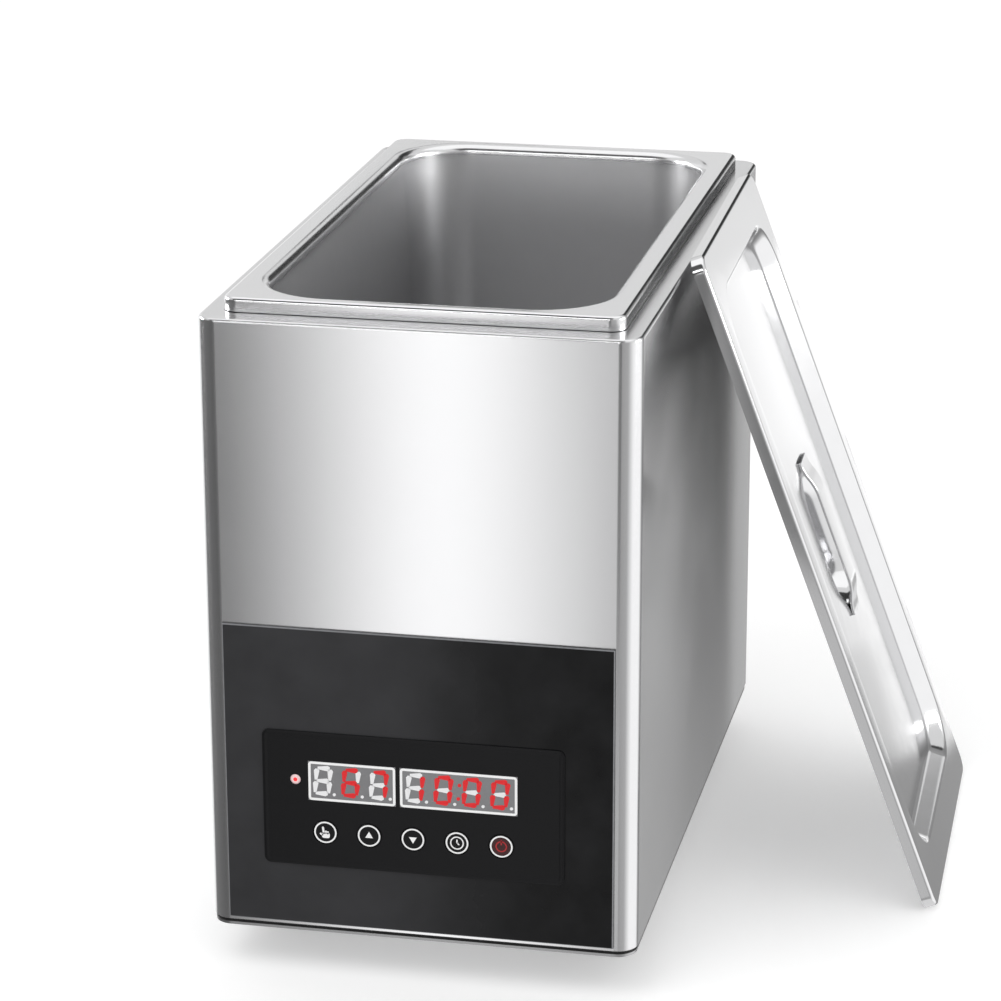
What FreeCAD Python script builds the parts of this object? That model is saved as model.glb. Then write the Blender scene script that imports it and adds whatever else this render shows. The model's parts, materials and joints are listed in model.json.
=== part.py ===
"""Commercial egg boiler: a stainless housing round one gastronorm 1/3 pan, with its lid leaning on the side.

The frame: X runs to the right and Y to the back as one faces the controls, Z is up, and the
origin lies on the floor under the middle of the housing. Lengths are in millimetres.
Every driving size is a cell of the sheet "sizes", and each sub-part is bound to those cells.
"""

import math
import os
import re

import FreeCAD
import Part
import Sketcher

OUT_FOLDER = "parts"

# alias, number, what it measures
SIZES = [
    ("body_width", 194, "housing, side to side"),
    ("body_depth", 349, "housing, front to back"),
    ("body_top", 302, "floor to the top deck"),
    ("corner_radius", 9.5, "upright corners of the housing"),
    ("deck_radius", 1.5, "bend round the edge of the top deck"),
    ("steel", 1.0, "sheet of the housing and the well"),
    ("flange_width", 12, "turned-in bottom edge of the housing"),
    ("flange_corner", 4, "inner corners of that edge"),
    ("foot_high", 20, "rubber foot"),
    ("foot_radius", 13, "rubber foot at its top"),
    ("foot_taper", 2, "how much less the radius is at the floor"),
    ("foot_x", 68, "feet from the middle, sideways"),
    ("foot_y", 112, "feet from the middle, lengthways"),
    ("foot_bore", 6.2, "radius of the bore for the screw's head"),
    ("foot_shelf", 8, "shelf in the bore above the floor"),
    ("tray_steel", 1.3, "base tray sheet"),
    ("tray_inset", 0.6, "base tray edge behind the housing's face"),
    ("upstand_high", 14, "turned-up wall of the base tray"),
    ("upstand_play", 1, "air between that wall and the flange"),
    ("vent_wide", 4, "vent slot"),
    ("vent_long", 44, "vent slot"),
    ("vent_row", 80, "first slot to last"),
    ("vent_count", 9, "vent slots"),
    ("vent_y", 40, "vent slots behind the middle"),
    ("seal_high", 1.4, "black seal between tray and housing"),
    ("seal_inset", 1.2, "seal behind the housing's face"),
    ("screw_hole", 2.1, "radius of a hole for an M4 screw"),
    ("m4_radius", 2, "M4 shank"),
    ("m4_head", 3.9, "radius of an M4 pan head"),
    ("m4_head_high", 2.6, "M4 pan head"),
    ("m4_nut", 3.9, "M4 nut, middle to corner"),
    ("m4_nut_high", 3.2, "M4 nut"),
    ("m5_radius", 2.5, "M5 shank"),
    ("m5_head", 4.7, "radius of an M5 pan head"),
    ("m5_head_high", 3.4, "M5 pan head"),
    ("m5_nut", 4.6, "M5 nut, middle to corner"),
    ("m5_nut_high", 4, "M5 nut"),
    ("m5_hole", 2.7, "radius of a hole for an M5 screw"),
    ("pan_width", 176, "gastronorm 1/3, short side of the rim"),
    ("pan_length", 325, "gastronorm 1/3, long side of the rim"),
    ("pan_depth", 150, "rim to the inside of the floor"),
    ("pan_steel", 0.8, "drawn sheet of pan and lid"),
    ("pan_rise", 6.6, "top of the rim above the deck"),
    ("pan_seat", 0.3, "air between the rim's lower edge and the deck"),
    ("rim_side", 12.25, "rim along the pan's sides, edge to mouth"),
    ("rim_end", 9, "rim at the pan's ends, edge to mouth"),
    ("rim_corner", 7, "outer corner of the rim"),
    ("mouth_radius", 32, "corner of the pan's mouth"),
    ("mouth_roll", 4.5, "bend from the rim into the wall"),
    ("pan_taper", 8, "how far a wall leans in over the depth"),
    ("floor_radius", 15, "bend between wall and floor of the pan"),
    ("rim_bend", 2, "outer bend of the rim"),
    ("well_gap", 2.2, "air between pan and well at the mouth"),
    ("well_floor", 152, "inside of the well's floor above the floor"),
    ("well_flange", 10, "flange of the well under the deck"),
    ("well_bend", 9, "bend between wall and floor of the well"),
    ("wool_thick", 9.5, "insulation round the well"),
    ("wool_gap", 0.5, "air between well and insulation"),
    ("wool_low", 12, "insulation's lower edge above the well's floor"),
    ("wool_top", 1, "insulation's upper edge below the well's flange"),
    ("tube_radius", 3.25, "heating element"),
    ("tube_pitch", 32, "between two runs of the element"),
    ("tube_run", 105, "straight half length of the element"),
    ("tube_tail", 24, "cold ends beyond the last bend"),
    ("spreader_thick", 3, "aluminium plate under the well"),
    ("spreader_wide", 128, "aluminium plate"),
    ("spreader_long", 268, "aluminium plate"),
    ("spreader_corner", 12, "aluminium plate"),
    ("clamp_thick", 2.5, "steel bar under the element"),
    ("clamp_wide", 16, "steel bar, lengthways"),
    ("stud_y", 75, "clamp studs from the middle"),
    ("shield_floor", 126, "underside of the heat shield"),
    ("shield_high", 14, "heat shield, edge to edge"),
    ("shield_wide", 150, "heat shield"),
    ("shield_long", 300, "heat shield"),
    ("shield_corner", 6, "heat shield"),
    ("disc_radius", 8, "thermal cut-out's disc"),
    ("disc_high", 4.5, "thermal cut-out's disc"),
    ("cutout_radius", 7, "thermal cut-out's case"),
    ("cutout_high", 5, "thermal cut-out's case"),
    ("tag_thick", 0.8, "flat terminals"),
    ("tag_wide", 6.3, "flat terminals"),
    ("tag_high", 6, "flat terminals"),
    ("tag_x", 4.4, "terminals from the cut-out's middle"),
    ("probe_radius", 2.5, "temperature probe"),
    ("probe_long", 36, "temperature probe"),
    ("clip_long", 12, "probe clip, along the probe"),
    ("clip_reach", 9, "probe clip, middle to the edge of its wings"),
    ("panel_width", 175, "black control panel"),
    ("panel_high", 140, "black control panel"),
    ("panel_low", 24.6, "lower edge of the control panel"),
    ("panel_thick", 1.5, "control panel"),
    ("panel_bevel", 0.5, "bevel round the control panel"),
    ("membrane_x", -2.2, "middle of the key membrane, sideways"),
    ("membrane_z", 85, "middle of the key membrane, height"),
    ("membrane_width", 136, "key membrane"),
    ("membrane_high", 63.5, "key membrane"),
    ("membrane_corner", 3, "key membrane"),
    ("membrane_thick", 0.6, "key membrane"),
    ("window_width", 124, "opening behind the membrane"),
    ("window_high", 54, "opening behind the membrane"),
    ("window_margin", 2, "how much wider the housing's opening is all round"),
    ("display_z", 93.9, "middle of both displays"),
    ("display_high", 18.5, "display windows"),
    ("pane_thick", 1.2, "display windows"),
    ("pane_proud", 0.2, "display windows in front of the membrane"),
    ("digits_high", 19, "cases of the digit modules"),
    ("three_digits_case", 37.6, "case of the temperature display"),
    ("four_digits_case", 50.3, "case of the timer display"),
    ("three_digits_x", -29.6, "middle of the temperature display"),
    ("three_digits_wide", 39.6, "temperature window"),
    ("four_digits_x", 18.5, "middle of the timer display"),
    ("four_digits_wide", 52.8, "timer window"),
    ("lamp_x", -55.3, "heating lamp"),
    ("lamp_radius", 2.4, "heating lamp"),
    ("key_z", 69.7, "row of keys"),
    ("key_pitch", 19.9, "between two keys"),
    ("key_radius", 5.5, "a key's face"),
    ("key_gap", 0.35, "air round a key"),
    ("key_proud", 0.3, "a key's face in front of the membrane"),
    ("collar_radius", 6.7, "a key's collar behind the membrane"),
    ("stem_radius", 2.5, "a key's stem"),
    ("stem_long", 3.2, "a key's stem and collar"),
    ("switch_play", 0.75, "air between a stem and its switch"),
    ("switch_wide", 6, "case of a key's switch"),
    ("switch_deep", 4, "case of a key's switch"),
    ("plunger_radius", 1.7, "plunger of a key's switch"),
    ("board_y", -160, "front of the control board"),
    ("board_thick", 1.6, "circuit boards"),
    ("board_wide", 142, "control board"),
    ("board_high", 80, "control board"),
    ("board_low", 43, "lower edge of the control board"),
    ("spacer_radius", 3, "spacers under the boards"),
    ("power_board_x", -76, "left edge of the power board"),
    ("power_board_y", -102, "front edge of the power board"),
    ("power_board_z", 30, "underside of the power board"),
    ("power_board_wide", 112, "power board"),
    ("power_board_long", 84, "power board"),
    ("gland_x", 55, "cable gland, sideways"),
    ("gland_z", 50, "cable gland, height"),
    ("gland_bore", 4, "radius of the way through the gland"),
    ("gland_barrel", 7.4, "radius of the gland's threaded barrel"),
    ("gland_inside", 11, "barrel behind the wall's outer face"),
    ("gland_hexagon", 11, "gland's hexagons, middle to corner"),
    ("gland_flange", 5, "gland's outer hexagon"),
    ("gland_cap", 9, "radius of the gland's cap"),
    ("gland_nut_high", 4, "gland's lock nut"),
    ("hole_play", 0.2, "how much larger the gland's hole is, in radius"),
    ("lid_clearance", 0.7, "air between the lid's edge and the pan's rim"),
    ("lid_skirt", 6, "depth of the lid's turned-down edge"),
    ("lid_corner", 8, "outer corner of the lid"),
    ("lid_bend", 1.6, "bend round the lid's edge"),
    ("dish_side", 15, "flat border of the lid along its sides"),
    ("dish_end", 22, "flat border of the lid at its ends"),
    ("dish_deep", 7.5, "recessed middle of the lid"),
    ("dish_slope", 5, "how far the recess narrows to its floor"),
    ("dish_radius", 24, "corner of the recess"),
    ("dish_lip", 2, "bend from the border into the recess"),
    ("dish_bend", 1.5, "bend round the recess's floor"),
    ("grip_long", 68, "hand recess under the lid's handle"),
    ("grip_wide", 42, "hand recess"),
    ("grip_deep", 13, "hand recess below the dish"),
    ("grip_slope", 6, "how far the hand recess narrows"),
    ("grip_bend", 3, "bend round the hand recess's floor"),
    ("handle_long", 80, "handle strip, end to end"),
    ("handle_bends", 71, "handle strip between its lower bends"),
    ("handle_crown", 52, "raised middle of the handle strip"),
    ("handle_rise", 3.5, "middle of the strip above its feet"),
    ("handle_wide", 18, "handle strip"),
    ("handle_thick", 1.5, "handle strip"),
    ("lean", 20.63, "lid from upright, degrees"),
    ("yaw", 1.0, "lid turned about the upright, degrees"),
    ("lid_foot_x", 214.0, "lower near corner of the lid's edge"),
    ("lid_foot_y", -55.3, "lower near corner of the lid's edge"),
]

# where the small fixings are: (x, y) from above, or (x, z) on the upright board
CASING_SCREWS = [(-90, -125), (-90, 0), (-90, 125), (90, -125), (90, 0), (90, 125)]
FEET = {
    "front_left_foot": (-1, -1), "front_right_foot": (1, -1),
    "rear_left_foot": (-1, 1), "rear_right_foot": (1, 1),
}
KEYS = ["set_key", "plus_key", "minus_key", "timer_key", "power_key"]
BOARD_SPACERS = [(-68, 47), (64, 47), (-68, 119), (64, 119)]
POWER_SPACERS = [(-70, -95), (30, -95), (-70, -25), (30, -25)]

PARTS = []

doc = FreeCAD.newDocument("egg_boiler")
sizes = doc.addObject("Spreadsheet::Sheet", "sizes")
for row, (alias, size, note) in enumerate(SIZES, 1):
    sizes.set(f"A{row}", alias)
    sizes.set(f"B{row}", str(size))
    sizes.set(f"C{row}", note)
    sizes.setAlias(f"B{row}", alias)
doc.recompute()
ALIASES = {alias for alias, _, _ in SIZES}


# ---------------------------------------------------------------- binding and sketching


def cells(text):
    """An expression written in the sheet's plain words, as FreeCAD reads it."""
    return re.sub(r"[a-z][a-z0-9_]*", lambda word: "sizes." * (word[0] in ALIASES) + word[0], str(text))


def number(text):
    """What such an expression comes to now."""
    value = sizes.evalExpression(cells(text))
    return float(getattr(value, "Value", value))


def bind(thing, **properties):
    """Ties properties to expressions; a double underscore in a name stands for a dot."""
    for name, text in properties.items():
        thing.setExpression(name.replace("__", "."), cells(text))


def place(thing, x="0", y="0", z="0"):
    bind(thing, Placement__Base__x=x, Placement__Base__y=y, Placement__Base__z=z)
    return thing


def new_body(label):
    body = doc.addObject("PartDesign::Body", label)
    body.Label = label
    PARTS.append(body)
    return body


def new_sketch(body, role="XY_Plane", offset="0", right="0", up="0"):
    """A sketch on one of the body's own planes, moved along the plane's normal and in the plane."""
    sketch = body.newObject("Sketcher::SketchObject", "outline")
    plane = next(f for f in body.Origin.OriginFeatures if f.Role == role)
    sketch.AttachmentSupport = [(plane, "")]
    sketch.MapMode = "FlatFace"
    for axis, text in zip("xyz", (right, up, offset)):
        bind(sketch, **{f"AttachmentOffset__Base__{axis}": text})
    return sketch


def dimension(sketch, kind, *rest, to):
    """A dimensional constraint held by an expression."""
    index = sketch.addConstraint(Sketcher.Constraint(kind, *rest, number(to)))
    name = f"size{index}"
    sketch.renameConstraint(index, name)
    sketch.setExpression(f"Constraints.{name}", cells(to))


def spread(outline, reach):
    """A rounded rectangle's width, height and corner radius, moved outwards all round."""
    wide, tall, radius = outline
    return f"{wide} + 2 * ({reach})", f"{tall} + 2 * ({reach})", f"{radius} + ({reach})"


def polygon(sketch, points):
    """A closed outline through points whose coordinates are expressions."""
    corners = [FreeCAD.Vector(number(x), number(y), 0) for x, y in points]
    first = sketch.GeometryCount
    count = len(points)
    for i in range(count):
        sketch.addGeometry(Part.LineSegment(corners[i], corners[(i + 1) % count]), False)
    for i in range(count):
        line, after = first + i, first + (i + 1) % count
        sketch.addConstraint(Sketcher.Constraint("Coincident", line, 2, after, 1))
        dimension(sketch, "DistanceX", -1, 1, line, 1, to=points[i][0])
        dimension(sketch, "DistanceY", -1, 1, line, 1, to=points[i][1])
    return sketch


def rectangle(sketch, wide, tall):
    half_wide, half_tall = f"({wide}) / 2", f"({tall}) / 2"
    signs = [(-1, -1), (1, -1), (1, 1), (-1, 1)]
    return polygon(sketch, [(f"{a} * {half_wide}", f"{b} * {half_tall}") for a, b in signs])


def rounded(sketch, wide, tall, radius):
    """A rectangle with round corners, about the sketch's origin."""
    w, t, r = number(wide) / 2, number(tall) / 2, number(radius)
    first = sketch.GeometryCount
    up = FreeCAD.Vector(0, 0, 1)
    sides = [
        ((r - w, -t), (w - r, -t)), ((w, r - t), (w, t - r)),
        ((w - r, t), (r - w, t)), ((-w, t - r), (-w, r - t)),
    ]
    centres = [(w - r, r - t), (w - r, t - r), (r - w, t - r), (r - w, r - t)]
    quarter = math.pi / 2
    for i, ((start, end), centre) in enumerate(zip(sides, centres)):
        sketch.addGeometry(Part.LineSegment(FreeCAD.Vector(*start, 0), FreeCAD.Vector(*end, 0)), False)
        circle_round = Part.Circle(FreeCAD.Vector(*centre, 0), up, r)
        sketch.addGeometry(Part.ArcOfCircle(circle_round, (i - 1) * quarter, i * quarter), False)
    for i in range(4):
        line, arc, after = first + 2 * i, first + 2 * i + 1, first + (2 * i + 2) % 8
        sketch.addConstraint(Sketcher.Constraint("Tangent", line, 2, arc, 1))
        sketch.addConstraint(Sketcher.Constraint("Tangent", arc, 2, after, 1))
        sketch.addConstraint(Sketcher.Constraint("Vertical" if i % 2 else "Horizontal", line))
        if i:
            sketch.addConstraint(Sketcher.Constraint("Equal", first + 1, arc))
    sketch.addConstraint(Sketcher.Constraint("Symmetric", first + 1, 3, first + 5, 3, -1, 1))
    dimension(sketch, "Radius", first + 1, to=radius)
    dimension(sketch, "DistanceX", first + 6, 1, first + 2, 1, to=wide)
    dimension(sketch, "DistanceY", first, 1, first + 4, 1, to=tall)
    return sketch


def circle(sketch, radius, x="0", y="0"):
    index = sketch.GeometryCount
    centre = FreeCAD.Vector(number(x), number(y), 0)
    sketch.addGeometry(Part.Circle(centre, FreeCAD.Vector(0, 0, 1), number(radius)), False)
    dimension(sketch, "DistanceX", -1, 1, index, 3, to=x)
    dimension(sketch, "DistanceY", -1, 1, index, 3, to=y)
    dimension(sketch, "Radius", index, to=radius)
    return sketch


# ---------------------------------------------------------------- features


def pad(body, sketch, length, reverse=False):
    feature = body.newObject("PartDesign::Pad", "pad")
    feature.Profile = sketch
    feature.Reversed = reverse
    bind(feature, Length=length)
    return feature


def pocket(body, sketch, length, reverse=False):
    """Cuts against the sketch's normal, or along it when reversed."""
    feature = body.newObject("PartDesign::Pocket", "pocket")
    feature.Profile = sketch
    feature.Reversed = reverse
    bind(feature, Length=length)
    return feature


def revolve(body, sketch):
    feature = body.newObject("PartDesign::Revolution", "turned")
    feature.Profile = sketch
    feature.ReferenceAxis = (sketch, ["V_Axis"])
    return feature


def loft(body, kind, first, last):
    feature = body.newObject(f"PartDesign::{kind}Loft", "drawn")
    feature.Profile = first
    feature.Sections = [last]
    return feature


def drawn(body, kind, top, bottom):
    """A tapered form between two rounded rectangles, each (height, wide, tall, radius)."""
    upper, lower = (rounded(new_sketch(body, offset=z), *outline) for z, *outline in (top, bottom))
    return loft(body, kind, upper, lower)


def flat_edges(shape, height, reach=None):
    """Names of the edges that lie wholly at that height, on request only those within reach of the middle."""
    names = []
    for index, edge in enumerate(shape.Edges, 1):
        box = edge.BoundBox
        level = abs(box.ZMin - height) < 1e-4 and abs(box.ZMax - height) < 1e-4
        near = reach is None or max(abs(box.XMin), abs(box.XMax)) < reach
        if level and near:
            names.append(f"Edge{index}")
    return names


def soften(body, kind, names, size):
    """A fillet or a chamfer on the body's last feature."""
    base = body.Tip
    feature = body.newObject(f"PartDesign::{kind}", kind.lower())
    feature.Base = (base, names)
    bind(feature, **{"Radius" if kind == "Fillet" else "Size": size})
    return feature


def round_level(body, height, radius, reach=None):
    doc.recompute()
    names = flat_edges(body.Tip.Shape, number(height), None if reach is None else number(reach))
    return soften(body, "Fillet", names, radius)


# ---------------------------------------------------------------- plain solids


def block(name, size, corner):
    """A box from its size and its lowest corner."""
    box = doc.addObject("Part::Box", name)
    bind(box, Length=size[0], Width=size[1], Height=size[2])
    return place(box, *corner)


def rod(name, radius, length, base, axis=(0, 0, 1)):
    """A cylinder from its base along an axis."""
    cylinder = doc.addObject("Part::Cylinder", name)
    bind(cylinder, Radius=radius, Height=length)
    cylinder.Placement.Rotation = FreeCAD.Rotation(FreeCAD.Vector(0, 0, 1), FreeCAD.Vector(*axis))
    return place(cylinder, *base)


def fuse(name, pieces):
    joined = doc.addObject("Part::MultiFuse", name)
    joined.Shapes = pieces
    return joined


def cut(name, base, tool):
    trimmed = doc.addObject("Part::Cut", name)
    trimmed.Base = base
    trimmed.Tool = tool
    return trimmed


def group(label, pieces):
    """Like pieces that share one node, each its own solid."""
    compound = doc.addObject("Part::Compound", label)
    compound.Links = pieces
    return sub_part(label, compound)


def sub_part(label, thing):
    thing.Label = label
    PARTS.append(thing)
    return thing


def screw(base, thread, length):
    """A pan-head screw that stands up from its head's underside at base; thread is m4 or m5."""
    x, y, z = base
    head = rod("head", f"{thread}_head", f"{thread}_head_high", (x, y, f"{z} - {thread}_head_high"))
    return fuse("screw", [head, rod("shank", f"{thread}_radius", length, base)])


def nut(base, thread):
    """A hexagon nut for an m4 or m5 thread."""
    prism = doc.addObject("Part::Prism", "hexagon")
    prism.Polygon = 6
    bind(prism, Circumradius=f"{thread}_nut", Height=f"{thread}_nut_high")
    place(prism, *base)
    return cut("nut", prism, rod("thread", f"{thread}_radius", f"{thread}_nut_high", base))


# ---------------------------------------------------------------- housing


CASING_LOW = "(foot_high + tray_steel + seal_high)"
FLANGE_WIDE = "(body_width - 2 * steel - 2 * flange_width)"
FLANGE_DEEP = "(body_depth - 2 * steel - 2 * flange_width)"


def casing():
    """The folded shell as one form: round corners, the pan's mouth, a bottom flange, and both cut-outs."""
    body = doc.addObject("PartDesign::Body", "casing")
    high = f"body_top - {CASING_LOW}"
    pad(body, rounded(new_sketch(body, offset=CASING_LOW), "body_width", "body_depth", "corner_radius"), high)
    round_level(body, "body_top", "deck_radius")
    inner = new_sketch(body, offset=f"{CASING_LOW} + steel")
    rounded(inner, "body_width - 2 * steel", "body_depth - 2 * steel", "corner_radius - steel")
    pocket(body, inner, f"{high} - 2 * steel", reverse=True)
    bottom = new_sketch(body, offset=CASING_LOW)
    pocket(body, rounded(bottom, FLANGE_WIDE, FLANGE_DEEP, "flange_corner"), "steel", reverse=True)
    mouth = new_sketch(body, offset="body_top")
    pocket(body, rounded(mouth, WELL_WIDE, WELL_LONG, WELL_RADIUS), "steel")
    window = new_sketch(body, "XZ_Plane", "body_depth / 2", "membrane_x", "membrane_z")
    margin = "2 * window_margin"
    pocket(body, rectangle(window, f"window_width + {margin}", f"window_high + {margin}"), "steel")
    entry = new_sketch(body, "XZ_Plane", "-body_depth / 2 + steel")
    pocket(body, circle(entry, "gland_barrel + hole_play", "gland_x", "gland_z"), "steel")
    holes = new_sketch(body, offset=CASING_LOW)
    for x, y in CASING_SCREWS:
        circle(holes, "screw_hole", x, y)
    pocket(body, holes, "steel", reverse=True)
    return body


def casing_sheets():
    """Splits the shell into the five sheets it is welded from; front and rear carry the round corners."""
    shell = casing()
    depth = "steel + flange_width"
    wall = f"body_top - deck_radius - {CASING_LOW}"
    across, along = ("body_width", depth, wall), (depth, FLANGE_DEEP, wall)
    left, front = "-body_width / 2", "-body_depth / 2"
    right, rear, second = f"body_width / 2 - ({depth})", f"body_depth / 2 - ({depth})", f"{front} + {depth}"
    regions = {
        "front_wall": (across, (left, front, CASING_LOW)),
        "rear_wall": (across, (left, rear, CASING_LOW)),
        "left_wall": (along, (left, second, CASING_LOW)),
        "right_wall": (along, (right, second, CASING_LOW)),
        "top_deck": (("body_width", "body_depth", "deck_radius"), (left, front, "body_top - deck_radius")),
    }
    for label, (size, corner) in regions.items():
        sheet = doc.addObject("Part::Common", label)
        sheet.Base = shell
        sheet.Tool = block("region", size, corner)
        sub_part(label, sheet)


def base_tray():
    """Base plate with a turned-up wall inside the flange, vent slots, and fixing holes."""
    body = new_body("base_tray")
    plate = new_sketch(body, offset="foot_high")
    rounded(plate, "body_width - 2 * tray_inset", "body_depth - 2 * tray_inset", "corner_radius - tray_inset")
    pad(body, plate, "tray_steel")
    wall = new_sketch(body, offset="foot_high + tray_steel")
    wide, deep = f"{FLANGE_WIDE} - 2 * upstand_play", f"{FLANGE_DEEP} - 2 * upstand_play"
    rounded(wall, wide, deep, "flange_corner")
    rounded(wall, f"{wide} - 2 * tray_steel", f"{deep} - 2 * tray_steel", "flange_corner - tray_steel")
    pad(body, wall, "upstand_high")
    slot = new_sketch(body, offset="foot_high + tray_steel", right="-vent_row / 2", up="vent_y")
    vents = pocket(body, rounded(slot, "vent_wide", "vent_long", "vent_wide / 2 - 0.1"), "tray_steel")
    row = body.newObject("PartDesign::LinearPattern", "vent_row")
    row.Originals = [vents]
    row.Direction = (slot, ["H_Axis"])
    bind(row, Length="vent_row", Occurrences="vent_count")
    body.Tip = row
    holes = new_sketch(body, offset="foot_high + tray_steel")
    for x, y in CASING_SCREWS:
        circle(holes, "screw_hole", x, y)
    for across, along in FEET.values():
        circle(holes, "m5_hole", f"{across} * foot_x", f"{along} * foot_y")
    pocket(body, holes, "tray_steel")


def base_seal():
    """Flat black gasket between tray and flange, which shows as a dark line."""
    body = new_body("base_seal")
    ring = new_sketch(body, offset="foot_high + tray_steel")
    rounded(ring, "body_width - 2 * seal_inset", "body_depth - 2 * seal_inset", "corner_radius - seal_inset")
    rounded(ring, FLANGE_WIDE, FLANGE_DEEP, "flange_corner")
    for x, y in CASING_SCREWS:
        circle(ring, "screw_hole", x, y)
    pad(body, ring, "seal_high")


def feet():
    """Four tapered rubber feet, each with a deep counterbore for its screw."""
    for label, (across, along) in FEET.items():
        body = new_body(label)
        low = "foot_radius - foot_taper"
        outline = [
            ("m5_hole", "foot_high"), ("m5_hole", "foot_shelf"), ("foot_bore", "foot_shelf"),
            ("foot_bore", "0"), (f"{low} - 1", "0"), (low, "1"), ("foot_radius", "foot_high"),
        ]
        revolve(body, polygon(new_sketch(body, "XZ_Plane"), outline))
        place(body, f"{across} * foot_x", f"{along} * foot_y")


def base_fasteners():
    """Screws that hold the feet and the tray, with their nuts."""
    places = [(f"{across} * foot_x", f"{along} * foot_y") for across, along in FEET.values()]
    foot_grip, casing_grip = "foot_high - foot_shelf + tray_steel", "tray_steel + seal_high + steel"
    past_foot, past_casing = f"{foot_grip} + m5_nut_high + 1.7", f"{casing_grip} + m4_nut_high + 1.6"
    group("foot_screws", [screw((x, y, "foot_shelf"), "m5", past_foot) for x, y in places])
    group("foot_nuts", [nut((x, y, "foot_high + tray_steel"), "m5") for x, y in places])
    group("casing_screws", [screw((x, y, "foot_high"), "m4", past_casing) for x, y in CASING_SCREWS])
    group("casing_nuts", [nut((x, y, f"{CASING_LOW} + steel"), "m4") for x, y in CASING_SCREWS])


# ---------------------------------------------------------------- heated well

MOUTH_WIDE = "(pan_width - 2 * rim_side)"
MOUTH_LONG = "(pan_length - 2 * rim_end)"
WELL_WIDE = f"({MOUTH_WIDE} + 2 * pan_steel + 2 * well_gap)"
WELL_LONG = f"({MOUTH_LONG} + 2 * pan_steel + 2 * well_gap)"
WELL_RADIUS = "(mouth_radius + pan_steel + well_gap)"
SPREADER_LOW = "(well_floor - steel - spreader_thick)"
TUBE_LEVEL = f"({SPREADER_LOW} - tube_radius)"
CLAMP_LOW = f"({SPREADER_LOW} - 2 * tube_radius - clamp_thick)"


def well_tank():
    """Deep well that hangs under the deck's mouth by its own flange and takes the pan."""
    body = new_body("well_tank")
    top = "body_top - steel"
    depth = f"{top} - (well_floor - steel)"
    outer = new_sketch(body, offset="well_floor - steel")
    pad(body, rounded(outer, *spread((WELL_WIDE, WELL_LONG, WELL_RADIUS), "steel")), depth)
    flange, reach = new_sketch(body, offset=top), "steel + well_flange"
    rounded(flange, *spread((WELL_WIDE, WELL_LONG, WELL_RADIUS), reach))
    pad(body, flange, "steel", reverse=True)
    inner = new_sketch(body, offset=top)
    pocket(body, rounded(inner, WELL_WIDE, WELL_LONG, WELL_RADIUS), f"{top} - well_floor")
    round_level(body, "well_floor", "well_bend")
    round_level(body, "well_floor - steel", "well_bend + steel")


def well_insulation():
    """Mineral wool wrap round the well's walls."""
    body = new_body("well_insulation")
    ring = new_sketch(body, offset="well_floor + wool_low")
    for reach in ("steel + wool_gap", "steel + wool_gap + wool_thick"):
        rounded(ring, *spread((WELL_WIDE, WELL_LONG, WELL_RADIUS), reach))
    pad(body, ring, "body_top - 2 * steel - wool_top - (well_floor + wool_low)")


def heat_spreader():
    """Aluminium plate between the well's floor and the element, with holes for the clamp studs."""
    body = new_body("heat_spreader")
    plate = new_sketch(body, offset=SPREADER_LOW)
    rounded(plate, "spreader_wide", "spreader_long", "spreader_corner")
    for side in (-1, 1):
        circle(plate, "m5_hole", "0", f"{side} * stud_y")
    pad(body, plate, "spreader_thick")


def heating_element():
    """Sheathed tube bent into four runs under the plate, with its cold ends at the back."""
    body = new_body("heating_element")
    path = new_sketch(body, offset=TUBE_LEVEL)
    pitch, run, tail = number("tube_pitch"), number("tube_run"), number("tube_tail")
    runs = [-1.5 * pitch, -0.5 * pitch, 0.5 * pitch, 1.5 * pitch]
    ends = [(run + tail, -run), (-run, run), (run, -run), (-run, run + tail)]
    up = FreeCAD.Vector(0, 0, 1)
    for x, (start, end) in zip(runs, ends):
        path.addGeometry(Part.LineSegment(FreeCAD.Vector(x, start, 0), FreeCAD.Vector(x, end, 0)), False)
    for x, y, begin in ((-pitch, -run, math.pi), (0, run, 0), (pitch, -run, math.pi)):
        turn = Part.Circle(FreeCAD.Vector(x, y, 0), up, pitch / 2)
        path.addGeometry(Part.ArcOfCircle(turn, begin, begin + math.pi), False)
    joints = [(0, 2, 4, 1), (4, 2, 1, 1), (1, 2, 5, 2), (5, 1, 2, 1), (2, 2, 6, 1), (6, 2, 3, 1)]
    for first, first_end, second, second_end in joints:
        path.addConstraint(Sketcher.Constraint("Tangent", first, first_end, second, second_end))
    for line in range(4):
        path.addConstraint(Sketcher.Constraint("Vertical", line))
    dimension(path, "DistanceX", -1, 1, 0, 1, to="-1.5 * tube_pitch")
    dimension(path, "DistanceY", -1, 1, 0, 1, to="tube_run + tube_tail")
    dimension(path, "DistanceY", -1, 1, 3, 2, to="tube_run + tube_tail")
    for arc, level in ((4, "-tube_run"), (5, "tube_run"), (6, "-tube_run")):
        dimension(path, "Radius", arc, to="tube_pitch / 2")
        dimension(path, "DistanceY", -1, 1, arc, 3, to=level)
    section = new_sketch(body, "XZ_Plane", "-(tube_run + tube_tail)")
    circle(section, "tube_radius", "-1.5 * tube_pitch", TUBE_LEVEL)
    tube = body.newObject("PartDesign::AdditivePipe", "tube")
    tube.Profile = section
    tube.Spine = path


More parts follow.
